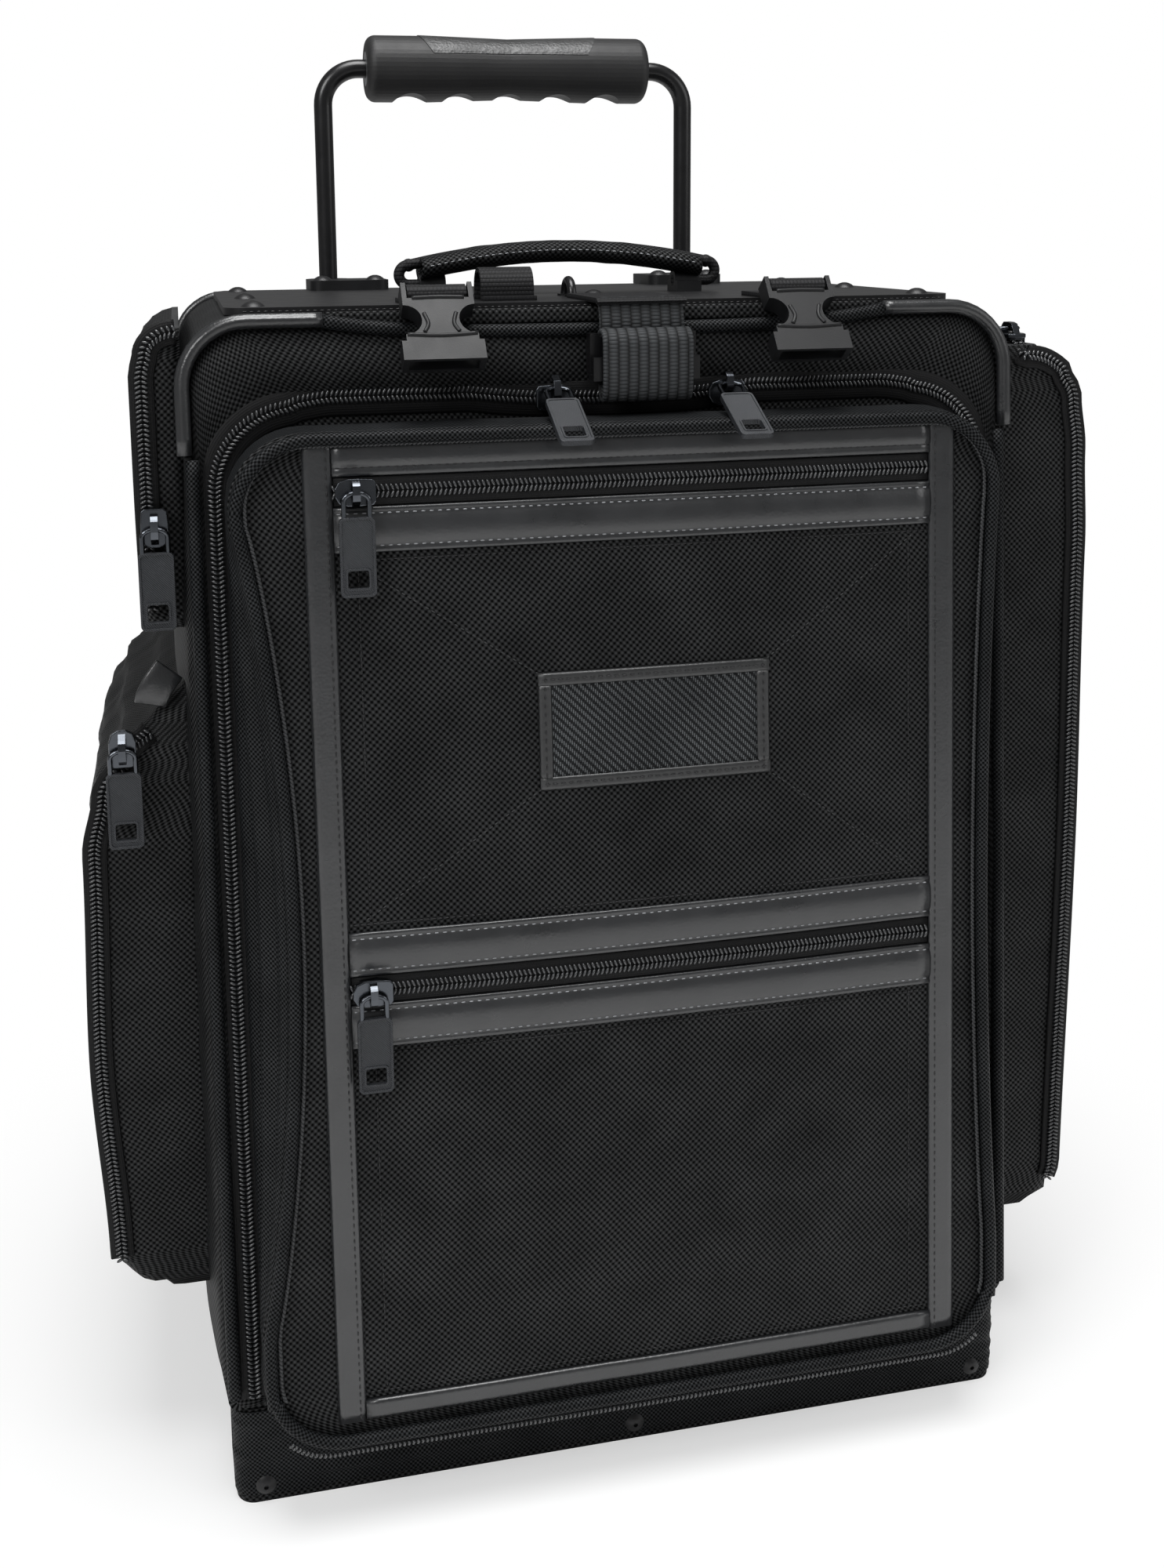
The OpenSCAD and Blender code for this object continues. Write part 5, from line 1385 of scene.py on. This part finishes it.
sleeve_rows = [[sleeve_point(k / 60, math.tau * j / 28) for j in range(28)] for k in range(61)]
sleeve = grid("carry_sleeve_cloth", sleeve_rows, wrap_v=True)
outward(sleeve)
hem = sleeve.modifiers.new("wall", "SOLIDIFY")
hem.thickness, hem.offset = 1.5 * MM, -1
wear(sleeve, nylon, "carry_handle", ["carry_sleeve"])
seam_runs = []
for a in (0.12, math.pi - 0.12):
    away = Vector((0, math.cos(a), math.sin(a)))
    seam_runs.append([(sleeve_point(k / 60, a), away) for k in range(2, 59)])
repeat("sleeve_stitches", seam_runs, stitch_tree, thread, "carry_handle", 3.2,
       (2.0, 0.6, 0.5))
print("carry sleeve", SLEEVE_HALF * 2, "mm long")

# %% [markdown]
# ## Kick cloth and body seams
# Nylon is glued over the plinth and puckers along its length. A binding bead closes the
# body's back edge. Black seams run beside the piping and round the back panel.

# %% Kick cloth
def kick_point(s, z):
    """Round the plinth from the left flank, over the front, to the right flank."""
    y_front = face_y(PLINTH) - 0.3
    x_half, y_end, r = HALF - 1.7, 20.0, 8.0
    side_run, arc = y_end - y_front - r, math.pi * r / 2
    lengths = [side_run, arc, 2 * (x_half - r), arc, side_run]
    d = s * sum(lengths)
    if d < lengths[0]:
        p, n = (-x_half, y_end - d), (-1, 0)
    elif d < sum(lengths[:2]):
        a = (d - lengths[0]) / r
        n = (-math.cos(a), -math.sin(a))
        p = (-x_half + r + r * n[0], y_front + r + r * n[1])
    elif d < sum(lengths[:3]):
        p, n = (-x_half + r + d - sum(lengths[:2]), y_front), (0, -1)
    elif d < sum(lengths[:4]):
        a = (d - sum(lengths[:3])) / r
        n = (math.sin(a), -math.cos(a))
        p = (x_half - r + r * n[0], y_front + r + r * n[1])
    else:
        p, n = (x_half, y_front + r + d - sum(lengths[:4])), (1, 0)
    hold = min(1, (z - 3) / 6, (PLINTH - z) / 5)
    fold = 1.1 * noise.noise(Vector((p[0] / 60, p[1] / 60, z / 4.2)))
    fold += 0.6 * noise.noise(Vector((p[0] / 22, p[1] / 22, z / 2.6 + 5)))
    off = 0.5 + max(-0.2, fold) * max(0, hold)
    return Vector((p[0] + n[0] * off, p[1] + n[1] * off, z))


KICK_LOW, KICK_TALL = 3.5, 39.5
heights = [KICK_LOW + KICK_TALL * j / 34 for j in range(35)]
kick_rows = [[kick_point(k / 220, z) for z in heights] for k in range(221)]
kick_cloth = grid("kick_cloth", kick_rows, flip=True, thick=0.5)
outward(kick_cloth)
wear(kick_cloth, gusset_cloth, "case")
print("kick cloth", KICK_TALL, "mm tall")

# %% Bindings and tab
rear_outs = [outline_out(body_ring, k) for k in range(len(body_ring))]
rear_run = [Vector((x, BACK - 0.6, z)) + out * 0.6
            for (x, z), out in zip(body_ring, rear_outs)]
rear_bead = sweep("rear_binding", rear_run, rear_outs, round_profile(2.6, 10), wrap=True)
wear(rear_bead, guard_leather, "case")
EDGE_Z, EDGE_HALF = 497, 119
ends = [Vector((x, face_y(EDGE_Z) - 0.5, EDGE_Z)) for x in (-EDGE_HALF, EDGE_HALF)]
edge_path = [ends[0].lerp(ends[1], k / 59) for k in range(60)]
edge_band = sweep("top_edge_band", edge_path, FACE_OUT, flat_profile(6.4, 1.0))
wear(edge_band, nylon, "case")
seam_parts = new_parts()
for label, z_from, z_to in (("upper_pocket", 380, 490), ("lower_pouch", 92, 340),
                            ("right_pocket", 70, 472)):
    rear = [Vector((p.x, PY1 - 2.2, p.z)) for p in pocket_front_edge[label]
            if z_from <= p.z <= z_to]
    sweep("", rear, Y, round_profile(1.8, 8), parts=seam_parts)
pocket_piping = joined("pocket_piping", seam_parts)
wear(pocket_piping, gusset_cloth, "case")
tab = band_path([(-194, -101.2, 343.5), (-193, -102.6, 347), (-190, -102.4, 352),
                 (-186, -100.5, 357)], 5)
pouch_tab = sweep("pouch_tab", tab, -Y, flat_profile(13, 1.4))
wear(pouch_tab, guard_leather, "case")

# %% Body seams
SEAM_X, SEAM_LOW, SEAM_TOP = 150, 70, 480
seam_lines = [[(Vector((-SEAM_X + 2 * SEAM_X * k / 60, -96.5, TOP + 1.5)), Z)
               for k in range(61)]]
for side in (-1, 1):
    heights = [60 + 400 * k / 79 for k in range(80)]
    away = Vector((side, 0, 0))
    seam_lines.append([(Vector((side * (HALF + 1.3), face_y(z) + 9, z)), away)
                       for z in heights])
low_left, low_right = (-SEAM_X, SEAM_LOW), (SEAM_X, SEAM_LOW)
top_left, top_right = (-SEAM_X, SEAM_TOP), (SEAM_X, SEAM_TOP)
for (x0, z0), (x1, z1) in ((low_left, top_left), (low_right, top_right),
                           (top_left, top_right), (low_left, low_right)):
    seam_lines.append([(Vector((x0 + (x1 - x0) * k / 60, BACK + 0.2,
                                z0 + (z1 - z0) * k / 60)), Y) for k in range(61)])
repeat("body_seams", seam_lines, stitch_tree, dark_thread, "case", 2.8,
       (2.1, 0.7, 0.6))
print("seams and bindings done")

# %% Buckle rims
BUCKLE_TILT, BUCKLE_Y, BUCKLE_Z, RIM_OUT = math.radians(52), -104, 506.2, 4.4
# Each line gives points across the buckle and down it: its mouth, its ears and two sides.
RIM_LINES = ([(-14, 22), (0, 22.8), (14, 22)], [(-10.5, 4.5), (0, 4.2), (10.5, 4.5)],
             [(-6.5, 12), (-5.2, 17), (-7, 21)], [(6.5, 12), (5.2, 17), (7, 21)])


def buckle_rims(name, body, x_mid):
    """Raised ridges at the buckle's mouth, ears and sides."""
    parts = new_parts()
    down = Vector((0, -math.cos(BUCKLE_TILT), -math.sin(BUCKLE_TILT)))
    lift = Vector((0, -math.sin(BUCKLE_TILT), math.cos(BUCKLE_TILT)))
    origin = Vector((x_mid, BUCKLE_Y, BUCKLE_Z)) + lift * RIM_OUT
    for spots in RIM_LINES:
        run = band_path([origin + X * a + down * b for a, b in spots])
        sweep("", run, lift, round_profile(0.9, 8), parts=parts)
    return wear(joined(name, parts), moulded, body)


buckle_rims("buckle_rims_left", "buckle_left", -74)
buckle_rims("buckle_rims_right", "buckle_right", 80)
print("buckle rims done")

# %% [markdown]
# ## Floor, light and camera
# The floor is pale and keeps a soft shadow. Broad lamps stand in for a window and a
# studio ceiling.

# %% Floor and world
floor_mesh = bpy.data.meshes.new("floor")
floor_mesh.from_pydata([(-4, -4, 0), (4, -4, 0), (4, 6, 0), (-4, 6, 0)], [], [(0, 1, 2, 3)])
floor = show("floor", floor_mesh)
floor_mat, floor_tree, floor_shader = base_material("pale_floor", 0.95, Specular_IOR_Level=0.0)
floor_shader.inputs["Base Color"].default_value = srgb("f6f6f6")
floor_place = put(floor_tree, COORDS).outputs["Object"]
length = put(floor_tree, "ShaderNodeVectorMath", {0: floor_place}, operation="LENGTH")
# The camera alone sees the floor mixed with plain white: half near the case, and all of
# it from 0.42 m out.
fade = put(floor_tree, "ShaderNodeMapRange",
           {0: length.outputs["Value"], 1: 0.17, 2: 0.42, 3: 0.5, 4: 1.0},
           interpolation_type="SMOOTHSTEP")
paper = put(floor_tree, "ShaderNodeEmission", {"Color": srgb("ffffff"), "Strength": 1.0})
seen = put(floor_tree, "ShaderNodeLightPath").outputs["Is Camera Ray"]
share = put(floor_tree, MATH, {0: fade, 1: seen}, operation="MULTIPLY")
blend = put(floor_tree, "ShaderNodeMixShader", {0: share, 1: floor_shader, 2: paper})
fill(floor_tree, floor_tree.nodes["Material Output"], {0: blend})
floor.data.materials.append(floor_mat)

world = bpy.data.worlds.new("studio")
bpy.context.scene.world = world
world.use_nodes = True
sky = world.node_tree.nodes["Background"]
rays = put(world.node_tree, "ShaderNodeLightPath").outputs
# The sky is white to the camera and dim to everything else.
power = put(world.node_tree, MIX, {0: rays["Is Camera Ray"], 2: 0.2, 3: 1.0})
fill(world.node_tree, sky, {"Strength": power, "Color": srgb("ffffff")})


# %% Lamps and camera
def lamp(name, spot, target, size, watts):
    data = bpy.data.lights.new(name, "AREA")
    data.shape, data.size, data.energy = "DISK", size, watts
    obj = show(name, data)
    obj.location = spot
    obj.rotation_euler = (Vector(target) - Vector(spot)).to_track_quat("-Z", "Y").to_euler()
    return obj


lamp("key", (-1.5, -1.3, 1.7), (0, 0, 0.25), 0.9, 24)
lamp("fill", (1.7, -1.0, 1.2), (0, 0, 0.25), 1.2, 7)
lamp("top", (0.0, -0.35, 2.3), (0, -0.05, 0.2), 1.3, 46)

yaw, pitch, roll = (math.radians(a) for a in (12.3, 9.5, -0.6))
forward = Vector((math.sin(yaw) * math.cos(pitch), math.cos(yaw) * math.cos(pitch),
                  -math.sin(pitch)))
right = Vector((math.cos(yaw), -math.sin(yaw), 0))
up = right.cross(forward)
right_r = right * math.cos(roll) + up * math.sin(roll)
up_r = up * math.cos(roll) - right * math.sin(roll)
camera_data = bpy.data.cameras.new("camera")
camera_data.sensor_width, camera_data.lens = 36, 37.67
camera_data.shift_x, camera_data.shift_y = 0.02625, -0.18
camera = show("camera", camera_data)
turn = Matrix((right_r, up_r, -forward)).transposed().to_4x4()
camera.matrix_world = Matrix.Translation(Vector((-175.5, -765.6, 532.7)) * MM) @ turn
bpy.context.scene.camera = camera
bpy.context.scene.view_settings.view_transform = "Standard"
print("camera at", [round(c, 3) for c in camera.location])
